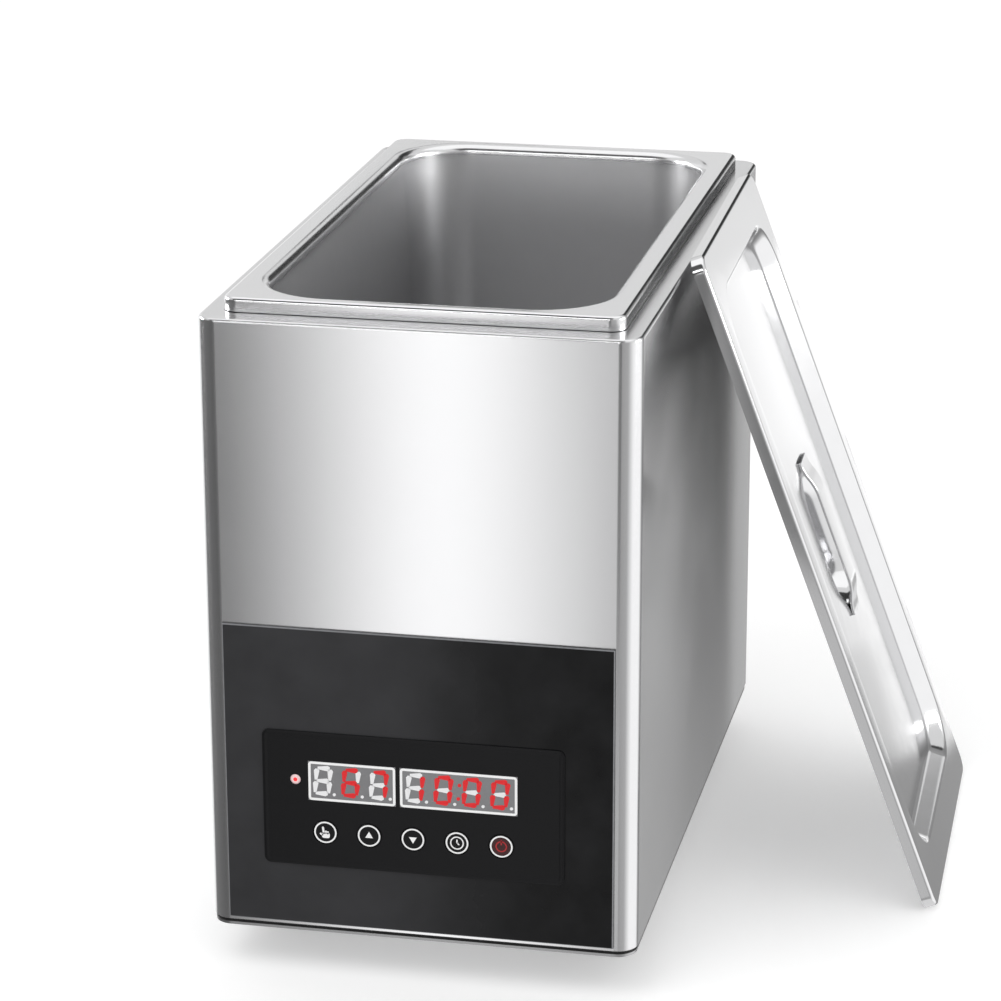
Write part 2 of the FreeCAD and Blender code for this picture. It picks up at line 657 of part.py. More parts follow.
def element_clamps():
    """Two bars that press the element up, their welded studs, and the nuts at bars and shield."""
    bars = []
    for side in (-1, 1):
        corner = ("-(3 * tube_pitch + clamp_wide) / 2", f"{side} * stud_y - clamp_wide / 2", CLAMP_LOW)
        bar = block("clamp_bar", ("3 * tube_pitch + clamp_wide", "clamp_wide", "clamp_thick"), corner)
        hole = rod("stud_hole", "m5_hole", "clamp_thick", ("0", f"{side} * stud_y", CLAMP_LOW))
        bars.append(cut("drilled_bar", bar, hole))
    group("element_clamps", bars)
    stud_low = "(shield_floor - m5_nut_high - 2)"
    length = f"well_floor - steel - {stud_low}"
    places = [("0", f"{side} * stud_y") for side in (-1, 1)]
    group("clamp_studs", [rod("stud", "m5_radius", length, (x, y, stud_low)) for x, y in places])
    levels = [f"{CLAMP_LOW} - m5_nut_high", "shield_floor + steel", "shield_floor - m5_nut_high"]
    group("stud_nuts", [nut((x, y, z), "m5") for x, y in places for z in levels])


def heat_shield():
    """Open tray that keeps the element's heat off the electronics below."""
    body = new_body("heat_shield")
    outline = ("shield_wide", "shield_long", "shield_corner")
    pad(body, rounded(new_sketch(body, offset="shield_floor"), *outline), "shield_high")
    inner = new_sketch(body, offset="shield_floor + shield_high")
    pocket(body, rounded(inner, *spread(outline, "-steel")), "shield_high - steel")
    holes = new_sketch(body, offset="shield_floor + steel")
    for side in (-1, 1):
        circle(holes, "m5_hole", "0", f"{side} * stud_y")
    pocket(body, holes, "steel")


def sensors():
    """Disc cut-out and probe between the element's runs, the probe under a saddle."""
    case_low = f"{SPREADER_LOW} - disc_high - cutout_high"
    disc = rod("disc", "disc_radius", "disc_high", ("tube_pitch", "0", f"{SPREADER_LOW} - disc_high"))
    case = rod("case", "cutout_radius", "cutout_high", ("tube_pitch", "0", case_low))
    tags = [
        block("tag", ("tag_thick", "tag_wide", "tag_high"), (x, "-tag_wide / 2", f"{case_low} - tag_high"))
        for x in ("tube_pitch - tag_x", "tube_pitch + tag_x")
    ]
    sub_part("thermal_cutout", fuse("thermal_cutout", [disc, case, *tags]))
    start = ("-tube_pitch", "-probe_long / 2", f"{SPREADER_LOW} - probe_radius")
    sub_part("temperature_probe", rod("temperature_probe", "probe_radius", "probe_long", start, (0, 1, 0)))
    body = new_body("probe_clip")
    section = new_sketch(body, "XZ_Plane", "clip_long / 2", "-tube_pitch", SPREADER_LOW)
    inner, deep = "(probe_radius + 0.1)", "(2 * probe_radius + 0.1)"
    right = [
        (inner, "0"), ("clip_reach", "0"), ("clip_reach", "-steel"), (f"{inner} + steel", "-steel"),
        (f"{inner} + steel", f"-{deep} - steel"),
    ]
    left = [(f"-({x})", z) for x, z in reversed(right)]
    polygon(section, [*right, *left, (f"-{inner}", f"-{deep}"), (inner, f"-{deep}")])
    pad(body, section, "clip_long", reverse=True)


# ---------------------------------------------------------------- control panel

FRONT = "(body_depth / 2)"
PANEL_FACE = f"({FRONT} + panel_thick)"
MEMBRANE_FACE = f"({PANEL_FACE} + membrane_thick)"


def on_front(body, offset, right="0", up="0"):
    """A sketch facing the user; offset is how far it lies in front of the housing's middle."""
    return new_sketch(body, "XZ_Plane", offset, right, up)


def control_panel():
    """Black front plate with a bevelled edge and an opening behind the membrane."""
    body = new_body("control_panel")
    plate = on_front(body, FRONT, up="panel_low + panel_high / 2")
    pad(body, rectangle(plate, "panel_width", "panel_high"), "panel_thick")
    doc.recompute()
    face_y = -number(PANEL_FACE)
    shape = body.Tip.Shape
    rim = [f"Edge{i}" for i, e in enumerate(shape.Edges, 1) if e.BoundBox.YMax < face_y + 1e-4]
    soften(body, "Chamfer", rim, "panel_bevel")
    window = on_front(body, PANEL_FACE, "membrane_x", "membrane_z")
    pocket(body, rectangle(window, "window_width", "window_high"), "panel_thick")


def key_x(index):
    return f"(membrane_x + {index - 2} * key_pitch)"


def key_membrane():
    """Raised sheet with round key openings, two window openings and a lamp hole."""
    body = new_body("key_membrane")
    sheet = on_front(body, PANEL_FACE, "membrane_x", "membrane_z")
    pad(body, rounded(sheet, "membrane_width", "membrane_high", "membrane_corner"), "membrane_thick")
    for x, wide in (("three_digits_x", "three_digits_wide"), ("four_digits_x", "four_digits_wide")):
        opening = on_front(body, MEMBRANE_FACE, x, "display_z")
        pocket(body, rectangle(opening, wide, "display_high"), "membrane_thick")
    holes = on_front(body, MEMBRANE_FACE)
    circle(holes, "lamp_radius", "lamp_x", "display_z")
    for index in range(len(KEYS)):
        circle(holes, "key_radius + key_gap", key_x(index), "key_z")
    pocket(body, holes, "membrane_thick")


def display_panes():
    """Windows set in the membrane, a touch proud of it."""
    for label, x, wide in (
        ("temperature_window", "three_digits_x", "three_digits_wide"),
        ("timer_window", "four_digits_x", "four_digits_wide"),
    ):
        body = new_body(label)
        pane = on_front(body, f"{MEMBRANE_FACE} + pane_proud - pane_thick", x, "display_z")
        pad(body, rectangle(pane, wide, "display_high"), "pane_thick")


def displays():
    """Seven-segment modules on the board, three digits and four."""
    front = f"-({MEMBRANE_FACE} + pane_proud - pane_thick) + 0.2"
    for label, digits in (("temperature_display", "three_digits"), ("timer_display", "four_digits")):
        size = (f"{digits}_case", f"board_y - ({front})", "digits_high")
        corner = (f"{digits}_x - {digits}_case / 2", front, "display_z - digits_high / 2")
        sub_part(label, block(label, size, corner))


def heating_lamp():
    """Round lamp in the membrane, with a flange behind it and a stem on the board."""
    body = new_body("heating_lamp")
    face = f"-({MEMBRANE_FACE} + pane_proud)"
    back = f"-({PANEL_FACE})"
    outline = [
        ("0", face), ("lamp_radius - 0.7", face), ("lamp_radius", f"{face} + 0.5"), ("lamp_radius", back),
        ("lamp_radius + 0.5", back), ("lamp_radius + 0.5", f"{back} + 1"),
        ("lamp_radius", f"{back} + 1"), ("lamp_radius", "board_y"), ("0", "board_y"),
    ]
    revolve(body, polygon(new_sketch(body, offset="display_z", right="lamp_x"), outline))


def keys():
    """Five round key caps: a face, a collar behind the membrane, and a stem that meets the switch."""
    face, back = f"-({MEMBRANE_FACE} + key_proud)", f"-({PANEL_FACE} - key_gap)"
    for index, label in enumerate(KEYS):
        body = new_body(label)
        outline = [
            ("0", face), ("key_radius - 0.4", face), ("key_radius", f"{face} + 0.3"), ("key_radius", back),
            ("collar_radius", back), ("collar_radius", f"{back} + 1"), ("stem_radius", f"{back} + 1"),
            ("stem_radius", f"{back} + stem_long"), ("0", f"{back} + stem_long"),
        ]
        revolve(body, polygon(new_sketch(body, offset="key_z", right=key_x(index)), outline))


def tact_switches():
    """One switch on the board behind each key, its plunger just short of the key's stem."""
    tip = f"(-({PANEL_FACE} - key_gap) + stem_long + switch_play)"
    case_face, half = "board_y - switch_deep", "switch_wide / 2"
    pieces = []
    for index in range(len(KEYS)):
        corner = (f"{key_x(index)} - {half}", case_face, f"key_z - {half}")
        case = block("switch_case", ("switch_wide", "switch_deep", "switch_wide"), corner)
        base = (key_x(index), tip, "key_z")
        plunger = rod("plunger", "plunger_radius", f"{case_face} - {tip}", base, (0, 1, 0))
        pieces.append(fuse("switch", [case, plunger]))
    group("tact_switches", pieces)


def control_board():
    """Upright board behind the front, on four spacers."""
    corner = ("membrane_x - board_wide / 2", "board_y", "board_low")
    sub_part("control_board", block("control_board", ("board_wide", "board_thick", "board_high"), corner))
    wall = "-body_depth / 2 + steel"
    places = [(x, wall, z) for x, z in BOARD_SPACERS]
    long = f"board_y - ({wall})"
    group("board_spacers", [rod("spacer", "spacer_radius", long, place, (0, 1, 0)) for place in places])


# ---------------------------------------------------------------- power side


def on_power_board(name, size, corner, lift=0):
    """A stock component as a box, its corner measured from the board's front left corner."""
    right, back = corner
    level = f"power_board_z + board_thick + {lift}"
    return block(name, size, (f"power_board_x + {right}", f"power_board_y + {back}", level))


def power_board():
    """Board in the base with its transformer, relay and terminals."""
    size = ("power_board_wide", "power_board_long", "board_thick")
    sub_part("power_board", block("power_board", size, ("power_board_x", "power_board_y", "power_board_z")))
    tray_top = "foot_high + tray_steel"
    high = f"power_board_z - ({tray_top})"
    spacers = [rod("spacer", "spacer_radius", high, (x, y, tray_top)) for x, y in POWER_SPACERS]
    group("power_board_spacers", spacers)
    core = on_power_board("core", (41, 14, 34), (10, 20))
    coil = on_power_board("coil", (27, 32, 22), (17, 11), 6)
    sub_part("transformer", fuse("transformer", [core, coil]))
    sub_part("power_relay", on_power_board("power_relay", (19, 15.5, 15.5), (62, 12)))
    step = on_power_board("step", (50, 7, 10), (54, 62))
    tower = on_power_board("tower", (50, 9, 17), (54, 69))
    sub_part("terminal_block", fuse("terminal_block", [step, tower]))


def cable_gland():
    """Nylon gland through the back, hexagon flange outside, round cap, and a lock nut inside."""
    body = new_body("cable_gland")
    wall = "body_depth / 2"
    inner, collar, end = f"{wall} - gland_inside", f"{wall} + gland_flange", f"{wall} + gland_flange + 12"
    outline = [
        ("gland_bore", inner), ("gland_barrel", inner), ("gland_barrel", wall), ("gland_cap + 0.5", wall),
        ("gland_cap + 0.5", collar), ("gland_cap", collar), ("gland_cap", f"{end} - 5"),
        ("gland_cap - 2.5", end), ("gland_bore", end),
    ]
    revolve(body, polygon(new_sketch(body, offset="gland_z", right="gland_x"), outline))
    flange = new_sketch(body, "XZ_Plane", f"-({wall})", "gland_x", "gland_z")
    hexagon = [(f"gland_hexagon * cos({t} deg)", f"gland_hexagon * sin({t} deg)") for t in range(0, 360, 60)]
    polygon(flange, hexagon)
    circle(flange, "gland_bore + 1")
    pad(body, flange, "gland_flange", reverse=True)
    lock = new_body("gland_nut")
    ring = new_sketch(lock, "XZ_Plane", f"-({wall} - steel)", "gland_x", "gland_z")
    polygon(ring, hexagon)
    circle(ring, "gland_barrel")
    pad(lock, ring, "gland_nut_high")


# ---------------------------------------------------------------- pan and lid

RIM_TOP = "(body_top + pan_rise)"


def sheet_outline(outline):
    """The outer outline of pan sheet drawn round an inner one."""
    return spread(outline, "pan_steel")


def gn_pan():
    """Drawn gastronorm pan: flat rim with a turned-down edge, tapering walls, deep round corners."""
    body = new_body("gn_pan")
    low = "body_top + pan_seat"
    rim = rounded(new_sketch(body, offset=low), "pan_width", "pan_length", "rim_corner")
    pad(body, rim, "pan_rise - pan_seat")
    round_level(body, RIM_TOP, "rim_bend")
    under = new_sketch(body, offset=low)
    rounded(under, "pan_width - 2 * pan_steel", "pan_length - 2 * pan_steel", "rim_corner - pan_steel")
    pocket(body, under, "pan_rise - pan_seat - pan_steel", reverse=True)
    round_level(body, f"{RIM_TOP} - pan_steel", "rim_bend - pan_steel")
    floor_in = f"({RIM_TOP} - pan_depth)"
    mouth = (MOUTH_WIDE, MOUTH_LONG, "mouth_radius")
    wall = sheet_outline(mouth)
    drawn(
        body, "Additive",
        (f"{RIM_TOP} - pan_steel", *wall), (f"{floor_in} - pan_steel", *spread(wall, "-pan_taper")),
    )
    round_level(body, f"{RIM_TOP} - pan_steel", "mouth_roll - pan_steel", reach=f"{MOUTH_WIDE} / 2 + 2")
    drawn(body, "Subtractive", (RIM_TOP, *mouth), (floor_in, *spread(mouth, "-pan_taper")))
    round_level(body, floor_in, "floor_radius")
    round_level(body, f"{floor_in} - pan_steel", "floor_radius + pan_steel")
    round_level(body, RIM_TOP, "mouth_roll", reach=f"{MOUTH_WIDE} / 2 + 1")


def lid_sheet():
    """Pressed lid, modelled flat with its outer face at zero height: edge, border, dish and hand recess."""
    body = new_body("lid_sheet")
    wide, long, _ = spread(("pan_width", "pan_length", "0"), "lid_clearance + pan_steel")
    edge = (wide, long, "lid_corner")
    pad(body, rounded(new_sketch(body, offset="-lid_skirt"), *edge), "lid_skirt")
    round_level(body, "0", "lid_bend")
    under = new_sketch(body, offset="-lid_skirt")
    pocket(body, rounded(under, *spread(edge, "-pan_steel")), "lid_skirt - pan_steel", reverse=True)
    round_level(body, "-pan_steel", "lid_bend - pan_steel")
    dish_floor, grip_floor = "-dish_deep", "-dish_deep - grip_deep"
    dish = (f"({wide} - 2 * dish_side)", f"({long} - 2 * dish_end)", "dish_radius")
    grip = ("grip_wide", "grip_long", "(grip_wide / 2 - 0.1)")
    dish_low, grip_low = spread(dish, "-dish_slope"), spread(grip, "-grip_slope")
    recesses = (("0", dish, dish_floor, dish_low), (dish_floor, grip, grip_floor, grip_low))
    for top, outline, floor, low in recesses:
        upper, lower = f"{top} - pan_steel", f"{floor} - pan_steel"
        drawn(body, "Additive", (upper, *sheet_outline(outline)), (lower, *sheet_outline(low)))
    drawn(body, "Subtractive", ("0", *dish), (dish_floor, *dish_low))
    drawn(body, "Subtractive", (dish_floor, *grip), (grip_floor, *grip_low))
    round_level(body, "0", "dish_lip", reach=f"{dish[0]} / 2 + 1")
    round_level(body, dish_floor, "dish_bend")
    round_level(body, grip_floor, "grip_bend")
    body.Placement = lid_placement()


def lid_handle():
    """Arched strip welded across the hand recess, below the level of the border."""
    body = new_body("lid_handle")
    foot, crown = "-dish_deep", "-dish_deep + handle_rise"
    right = [("handle_crown / 2", crown), ("handle_bends / 2", foot), ("handle_long / 2", foot)]
    under = [(f"-{x}", z) for x, z in reversed(right)] + right
    over = [(x, f"{z} + handle_thick") for x, z in reversed(under)]
    strip = polygon(new_sketch(body, "YZ_Plane", "-handle_wide / 2"), under + over)
    pad(body, strip, "handle_wide")
    body.Placement = lid_placement()


def lid_placement():
    """Turns the flat lid a quarter round, tips it up, and stands its lower edge on the floor."""
    upright = FreeCAD.Vector(0, 0, 1)
    quarter = FreeCAD.Rotation(upright, 90 + number("yaw"))
    turn = quarter.multiply(FreeCAD.Rotation(FreeCAD.Vector(1, 0, 0), 90 - number("lean")))
    half_wide = number("pan_width / 2 + lid_clearance + pan_steel")
    half_long = number("pan_length / 2 + lid_clearance + pan_steel")
    near_corner = FreeCAD.Vector(-half_wide, -half_long, -number("lid_skirt"))
    floor_point = FreeCAD.Vector(number("lid_foot_x"), number("lid_foot_y"), 0)
    return FreeCAD.Placement(floor_point - turn.multVec(near_corner), turn)


# ---------------------------------------------------------------- build, test, write


def check_document():
    """Stops on a failed feature, on a cut that took nothing away, and on a bad sub-part."""
    for thing in doc.Objects:
        if "Invalid" in thing.State or "Error" in thing.State:
            raise RuntimeError(f"{thing.Name} failed: {thing.State}")
        if thing.TypeId in ("PartDesign::Pocket", "PartDesign::SubtractiveLoft"):
            if thing.Shape.Volume > thing.BaseFeature.Shape.Volume - 1e-3:
                raise RuntimeError(f"{thing.Name} in {thing.getParentGeoFeatureGroup().Label} cuts nothing")
    for thing in PARTS:
        if thing.Shape.isNull() or not thing.Shape.isValid() or not thing.Shape.Solids:
            raise RuntimeError(f"{thing.Label} has no sound shape")


def main():
    for make in (
        casing_sheets, base_tray, base_seal, feet, base_fasteners,
        well_tank, well_insulation, heat_spreader, heating_element, element_clamps, heat_shield, sensors,
        control_panel, key_membrane, display_panes, displays, heating_lamp, keys, tact_switches,
        control_board, power_board, cable_gland, gn_pan, lid_sheet, lid_handle,
    ):
        make()
    doc.recompute()
    check_document()
    os.makedirs(OUT_FOLDER, exist_ok=True)
    for thing in PARTS:
        thing.Shape.exportStep(os.path.join(OUT_FOLDER, thing.Label + ".step"))
    print(f"{len(PARTS)} sub-parts, {sum(len(thing.Shape.Solids) for thing in PARTS)} solids")


main()
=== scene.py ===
"""Looks of the commercial egg boiler: sheet metal, front panel, displays, keys, finishes, camera and light.

Every piece is in metres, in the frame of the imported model: X to the right, Y to the back, Z up.
"""

import functools
import json
import math

import bmesh
import bpy
from mathutils import Matrix, Vector


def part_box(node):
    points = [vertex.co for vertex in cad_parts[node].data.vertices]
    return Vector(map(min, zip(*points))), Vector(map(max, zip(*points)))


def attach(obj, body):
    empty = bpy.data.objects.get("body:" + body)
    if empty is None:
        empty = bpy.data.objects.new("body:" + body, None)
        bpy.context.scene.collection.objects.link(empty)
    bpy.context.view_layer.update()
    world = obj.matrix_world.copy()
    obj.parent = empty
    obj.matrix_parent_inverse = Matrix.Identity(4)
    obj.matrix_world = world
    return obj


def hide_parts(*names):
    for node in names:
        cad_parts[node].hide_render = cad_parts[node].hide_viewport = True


bl_info = {
    "name": "Egg boiler",
    "version": (1, 0, 0),
    "blender": (4, 5, 0),
    "location": "View3D > Sidebar > Egg boiler",
    "description": "Builds the looks of a commercial egg boiler round its packed frame",
    "category": "Object",
}

MM = 0.001
WELD = 0.001 * MM  # points nearer than this are one
NOT_QUITE_ROUND = 0.1 * MM  # what a round end keeps straight, so that its corners don't meet
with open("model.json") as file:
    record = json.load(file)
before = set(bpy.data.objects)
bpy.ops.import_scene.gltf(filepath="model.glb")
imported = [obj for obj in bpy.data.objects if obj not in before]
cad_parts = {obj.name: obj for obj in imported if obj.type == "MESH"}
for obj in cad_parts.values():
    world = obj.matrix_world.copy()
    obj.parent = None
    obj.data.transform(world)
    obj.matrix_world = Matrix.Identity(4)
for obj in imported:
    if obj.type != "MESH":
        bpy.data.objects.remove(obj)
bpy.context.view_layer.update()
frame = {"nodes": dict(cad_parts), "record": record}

SLOT_OF = {part["node"]: part["material_slot"] for part in frame["record"]["subparts"]}
WALLS = ("front_wall", "rear_wall", "left_wall", "right_wall", "top_deck")
KEYS = ("set_key", "plus_key", "minus_key", "timer_key", "power_key")
SMALL_PARTS = (
    "front_left_foot", "front_right_foot", "rear_left_foot", "rear_right_foot", "cable_gland", "gland_nut",
    "base_tray", "base_seal", "casing_screws", "foot_screws",
)


# ---------------------------------------------------------------- settings


def number(name, description, default, least=0, **more):
    """A number with its unit or subtype where one fits."""
    return bpy.props.FloatProperty(name=name, description=description, default=default, min=least, **more)


def length(name, description, default, least=0):
    """A length or place in millimetres, kept in metres."""
    return number(name, description, default * MM, least * MM, precision=5, unit="LENGTH", subtype="DISTANCE")


def angle(name, description, default):
    """An angle in degrees, kept in radians."""
    return bpy.props.FloatProperty(
        name=name, description=description, default=math.radians(default), unit="ROTATION", subtype="ANGLE"
    )


def tint(name, description, default):
    """A colour, given as sRGB hex and kept linear."""
    return bpy.props.FloatVectorProperty(
        name=name, description=description, default=linear(default)[:3], size=3, min=0, max=1, subtype="COLOR"
    )


def linear(hex_colour):
    """sRGB hex to linear red, green, blue and alpha."""
    steps = [int(hex_colour[i : i + 2], 16) / 255 for i in (1, 3, 5)]
    return (*(s / 12.92 if s <= 0.04045 else ((s + 0.055) / 1.055) ** 2.4 for s in steps), 1.0)


class ShellSettings(bpy.types.PropertyGroup):
    """Folded housing and its deck."""

    sheet: length("Sheet", "Thickness of the housing's sheet", 1.0)
    corner: length("Corner", "Radius of the upright corners", 9.5)
    deck_bend: length("Deck bend", "Radius of the bend round the deck", 1.5)
    flange: length("Flange", "Turned-in bottom edge", 13)
    mouth_corner: length("Mouth corner", "Corner radius of the deck's mouth", 35)
    mouth_gap: length("Mouth gap", "Air between the pan and the deck's mouth", 2.2)


class PanSettings(bpy.types.PropertyGroup):
    """Drawn gastronorm pan."""

    sheet: length("Sheet", "Thickness of the pan", 0.8)
    rim_corner: length("Rim corner", "Outer corner of the rim", 7)
    rim_bend: length("Rim bend", "Bend into the turned-down edge", 2)
    rim_side: length("Rim, sides", "Edge to mouth along the sides", 12.25)
    rim_end: length("Rim, ends", "Edge to mouth at the ends", 9)
    mouth_corner: length("Mouth corner", "Corner radius of the mouth", 32)
    mouth_roll: length("Mouth roll", "Bend from the rim into the wall", 4.5)
    lean_in: length("Lean-in", "How far a wall leans in over the depth", 8)
    floor_bend: length("Floor bend", "Bend between wall and floor", 15)


class LidSettings(bpy.types.PropertyGroup):
    """Pressed lid that leans on the housing."""

    sheet: length("Sheet", "Thickness of the lid", 0.8)
    width: length("Width", "Across the lid", 179)
    long: length("Length", "Along the lid", 328)
    skirt: length("Skirt", "Depth of the turned-down edge", 6)
    corner: length("Corner", "Outer corners", 8)
    edge_bend: length("Edge bend", "Bend into the turned-down edge", 1.6)
    border_side: length("Border, sides", "Flat border along the sides", 15)
    border_end: length("Border, ends", "Flat border at the ends", 22)
    dish: length("Dish", "Depth of the recessed middle", 7.5)
    dish_slope: length("Dish slope", "How far the recess narrows", 5)
    dish_corner: length("Dish corner", "Corner of the recess", 24)
    grip_wide: length("Grip width", "Hand recess, across", 42)
    grip_long: length("Grip length", "Hand recess, along", 68)
    grip: length("Grip depth", "Hand recess below the dish", 13)
    grip_slope: length("Grip slope", "How far the hand recess narrows", 6)
    strap_wide: length("Strap width", "Handle strap, across", 18)
    strap_long: length("Strap length", "Handle strap, end to end", 80)
    strap_bends: length("Strap bends", "Between the strap's lower bends", 71)
    strap_crown: length("Strap crown", "Raised middle of the strap", 52)
    strap_rise: length("Strap rise", "Arch of the handle strap", 3.5)
    strap_sheet: length("Strap sheet", "Thickness of the handle strap", 1.5)
    lean: angle("Lean", "Lid from upright", 20.63)
    yaw: angle("Yaw", "Lid turned about the upright", 1.0)
    foot_x: length("Foot, right", "Where the near lower corner stands", 214.0)
    foot_y: length("Foot, back", "Where the near lower corner stands", -55.3, -1000)


class FrontSettings(bpy.types.PropertyGroup):
    """Marks on the control panel."""

    digit_high: length("Digit height", "Seven-segment digit", 14.2)
    digit_wide: length("Digit width", "Seven-segment digit", 8.4)
    digit_pitch: length("Digit pitch", "From digit to digit", 12.7)
    stroke: length("Stroke", "Thickness of a segment", 2.2)
    slant: angle("Slant", "Lean of the digits", 5)
    frame_line: length("Frame line", "White line round a display", 1.2)
    key_ring: length("Key ring", "White line round a key", 0.7)
    print_high: length("Print height", "How far print stands proud", 0.04)
    temperature: bpy.props.StringProperty(
        name="Temperature", description="Digits shown, a blank is unlit", default=" 67"
    )
    timer: bpy.props.StringProperty(name="Timer", description="Digits shown", default="1000")


class FinishSettings(bpy.types.PropertyGroup):
    """Colours of the finishes."""

    stainless: tint("Stainless", "Steel of the housing, pan and lid", "#cfcfd0")
    # two tones of the front plate: its own black, and a lighter one for its smears and for its painted sheen
    panel: tint("Panel", "Front plate where it is clean", "#060607")
    panel_smears_and_sheen: tint("Panel haze", "Front plate where hands have wiped it", "#3a3a3c")
    film: tint("Film", "Key membrane", "#171719")
    lit: tint("Lit", "Lit segments", "#d00c16")
    ink: tint("Ink", "White print", "#ffffff")
    rubber: tint("Rubber", "Feet and seal", "#1d1d1d")


class StageSettings(bpy.types.PropertyGroup):
    """Camera and studio."""

    azimuth: angle("Azimuth", "Camera to the right of the front", 11.95)
    elevation: angle("Elevation", "Camera above the horizon", 17.99)
    roll: angle("Roll", "Camera roll", -0.15)
    distance: length("Distance", "Camera to its aim", 1743)
    focal: number("Focal length", "Lens", 131, 1, unit="CAMERA")
    key_light: number("Key", "Watts of the large soft light", 9, unit="POWER")
    tent: length("Tent", "Radius of the studio screens", 900)
    tent_top: length("Tent top", "Upper edge of the studio screens", 620)
    room: number("Room", "Brightness of the room for matt surfaces", 0.82)


# ---------------------------------------------------------------- mesh helpers


def round_off(bm, geom, radius, affect, segments):
    """Rounds points or edges."""
    bmesh.ops.bevel(
        bm, geom=geom, offset=radius, offset_type="OFFSET", affect=affect, segments=segments, profile=0.5,
        material=-1,
    )


def rounded_ring(bm, wide, deep, corner, z, centre=(0, 0), segments=16):
    """Edges of one level rectangle with round corners."""
    corners = bmesh.ops.create_grid(bm, x_segments=1, y_segments=1, size=0.5)["verts"]
    bmesh.ops.scale(bm, vec=(wide, deep, 1), verts=corners)
    bmesh.ops.translate(bm, vec=(*centre, z), verts=corners)
    known = set(bm.verts) - set(corners)
    round_off(bm, corners, max(corner, 0.01 * MM), "VERTICES", segments)
    fresh = [v for v in bm.verts if v not in known]
    bmesh.ops.delete(bm, geom=list({f for v in fresh for f in v.link_faces}), context="FACES_ONLY")
    return list({e for v in fresh for e in v.link_edges})


def bend(start, end, turn_first, steps=5):
    """Points of a quarter round between two (inset, level) points, the first left out.

    turn_first tells which of the two changes first: "inset" or "level".
    """
    points = []
    for i in range(1, steps + 1):
        t = i / steps * math.pi / 2
        quick, slow = math.sin(t), 1 - math.cos(t)
        across, up = (quick, slow) if turn_first == "inset" else (slow, quick)
        points.append((start[0] + (end[0] - start[0]) * across, start[1] + (end[1] - start[1]) * up))
    return points


def inset(wide, deep, corner, profile):
    """Rings of one rounded rectangle, each given by how far it is set in and by its level."""
    return [(wide - 2 * step, deep - 2 * step, corner - step, z) for step, z in profile]


def from_point(across, level, points):
    """A profile given in millimetres from one of its points, in metres."""
    return [(across + x * MM, level + z * MM) for x, z in points]


def skin(bm, rings, centre=(0, 0), segments=16):
    """One surface through rounded rings in order; returns the edges of the last ring.
    """
    for lower, upper in zip(rings, rings[1:]):
        last = rounded_ring(bm, *upper, centre, segments)
        bmesh.ops.bridge_loops(bm, edges=rounded_ring(bm, *lower, centre, segments) + last)
    return last


def grown_verts(result):
    """The points that an extrusion made."""
    return [v for v in result["geom"] if isinstance(v, bmesh.types.BMVert)]


def cap(bm, edges):
    """Closes a ring with one flat face."""
    return bmesh.ops.contextual_create(bm, geom=edges)["faces"]


def facing_front(face_y):
    """Turns a form drawn flat, seen from above, so that it faces the user with its zero level at face_y."""
    return Matrix.Translation((0, face_y, 0)) @ Matrix.Rotation(math.radians(90), 4, "X")


def front_of(node):
    """The box of a node, and its middle as seen from the front."""
    low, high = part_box(node)
    return low, high, Vector(((low.x + high.x) / 2, (low.z + high.z) / 2))


def new_object(name, bm):
    """Turns a bmesh into an object at the origin."""
    mesh = bpy.data.meshes.new(name)
    bm.to_mesh(mesh)
    bm.free()
    thing = bpy.data.objects.new(name, mesh)
    bpy.context.scene.collection.objects.link(thing)
    return thing


def finish(name, bm, body, slot=None, finishes=(), place=None, sheet=0.0, replaces=(), sharp=35):
    """Makes a piece: outward faces, smooth shading with sharp creases, finishes, and the body it rides on.

    slot is the record's material slot that its finish comes from; a sheet gets its thickness inwards.
    """
    bmesh.ops.remove_doubles(bm, verts=bm.verts[:], dist=WELD)
    bmesh.ops.recalc_face_normals(bm, faces=bm.faces[:])
    if sheet and max(bm.faces, key=lambda f: f.calc_center_median().x).normal.x < 0:
        bmesh.ops.reverse_faces(bm, faces=bm.faces[:])
    if place is not None:
        bmesh.ops.transform(bm, matrix=place, verts=bm.verts[:])
    for face in bm.faces:
        face.smooth = True
    for edge in bm.edges:
        edge.smooth = len(edge.link_faces) == 2 and edge.calc_face_angle() < math.radians(sharp)
    piece = new_object(name, bm)
    for material in finishes or [slot_finish(slot)]:
        piece.data.materials.append(material)
    if sheet:
        wall = piece.modifiers.new("sheet", "SOLIDIFY")
        wall.thickness = sheet
        wall.offset = -1
        wall.use_even_offset = True
    weighted = piece.modifiers.new("flat_faces", "WEIGHTED_NORMAL")
    weighted.keep_sharp = True
    weighted.weight = 100
    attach(piece, body)
    if replaces:
        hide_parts(*replaces)


def print_mark(name, bm, body, ink, place):
    """A piece that is printed or cast on another, in a finish that the record has no slot for."""
    finish(name, bm, body, finishes=[grained(ink)], place=place)


def smooth_copy(node, body, extra=(), pick=None, sharp=30, step_back=0.0):
    """A CAD node's own form with its facets merged and smoothed, in its slot's finish.

    pick chooses between that finish and the extra ones for each face; step_back is how far the front face
    moves in for its print.
    """
    bm = bmesh.new()
    bm.from_mesh(frame["nodes"][node].data)
    if step_back:
        face_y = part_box(node)[0].y
        front = [v for v in bm.verts if v.co.y < face_y + 0.01 * MM]
        bmesh.ops.translate(bm, vec=(0, step_back, 0), verts=front)
    bmesh.ops.remove_doubles(bm, verts=bm.verts[:], dist=WELD)
    bmesh.ops.dissolve_limit(bm, angle_limit=math.radians(0.5), verts=bm.verts[:], edges=bm.edges[:])
    for face in bm.faces:
        face.material_index = pick(face) if pick else 0
    slot = SLOT_OF[node]
    finish(node + "_look", bm, body, slot, [slot_finish(slot), *extra], replaces=(node,), sharp=sharp)


# ---------------------------------------------------------------- finishes


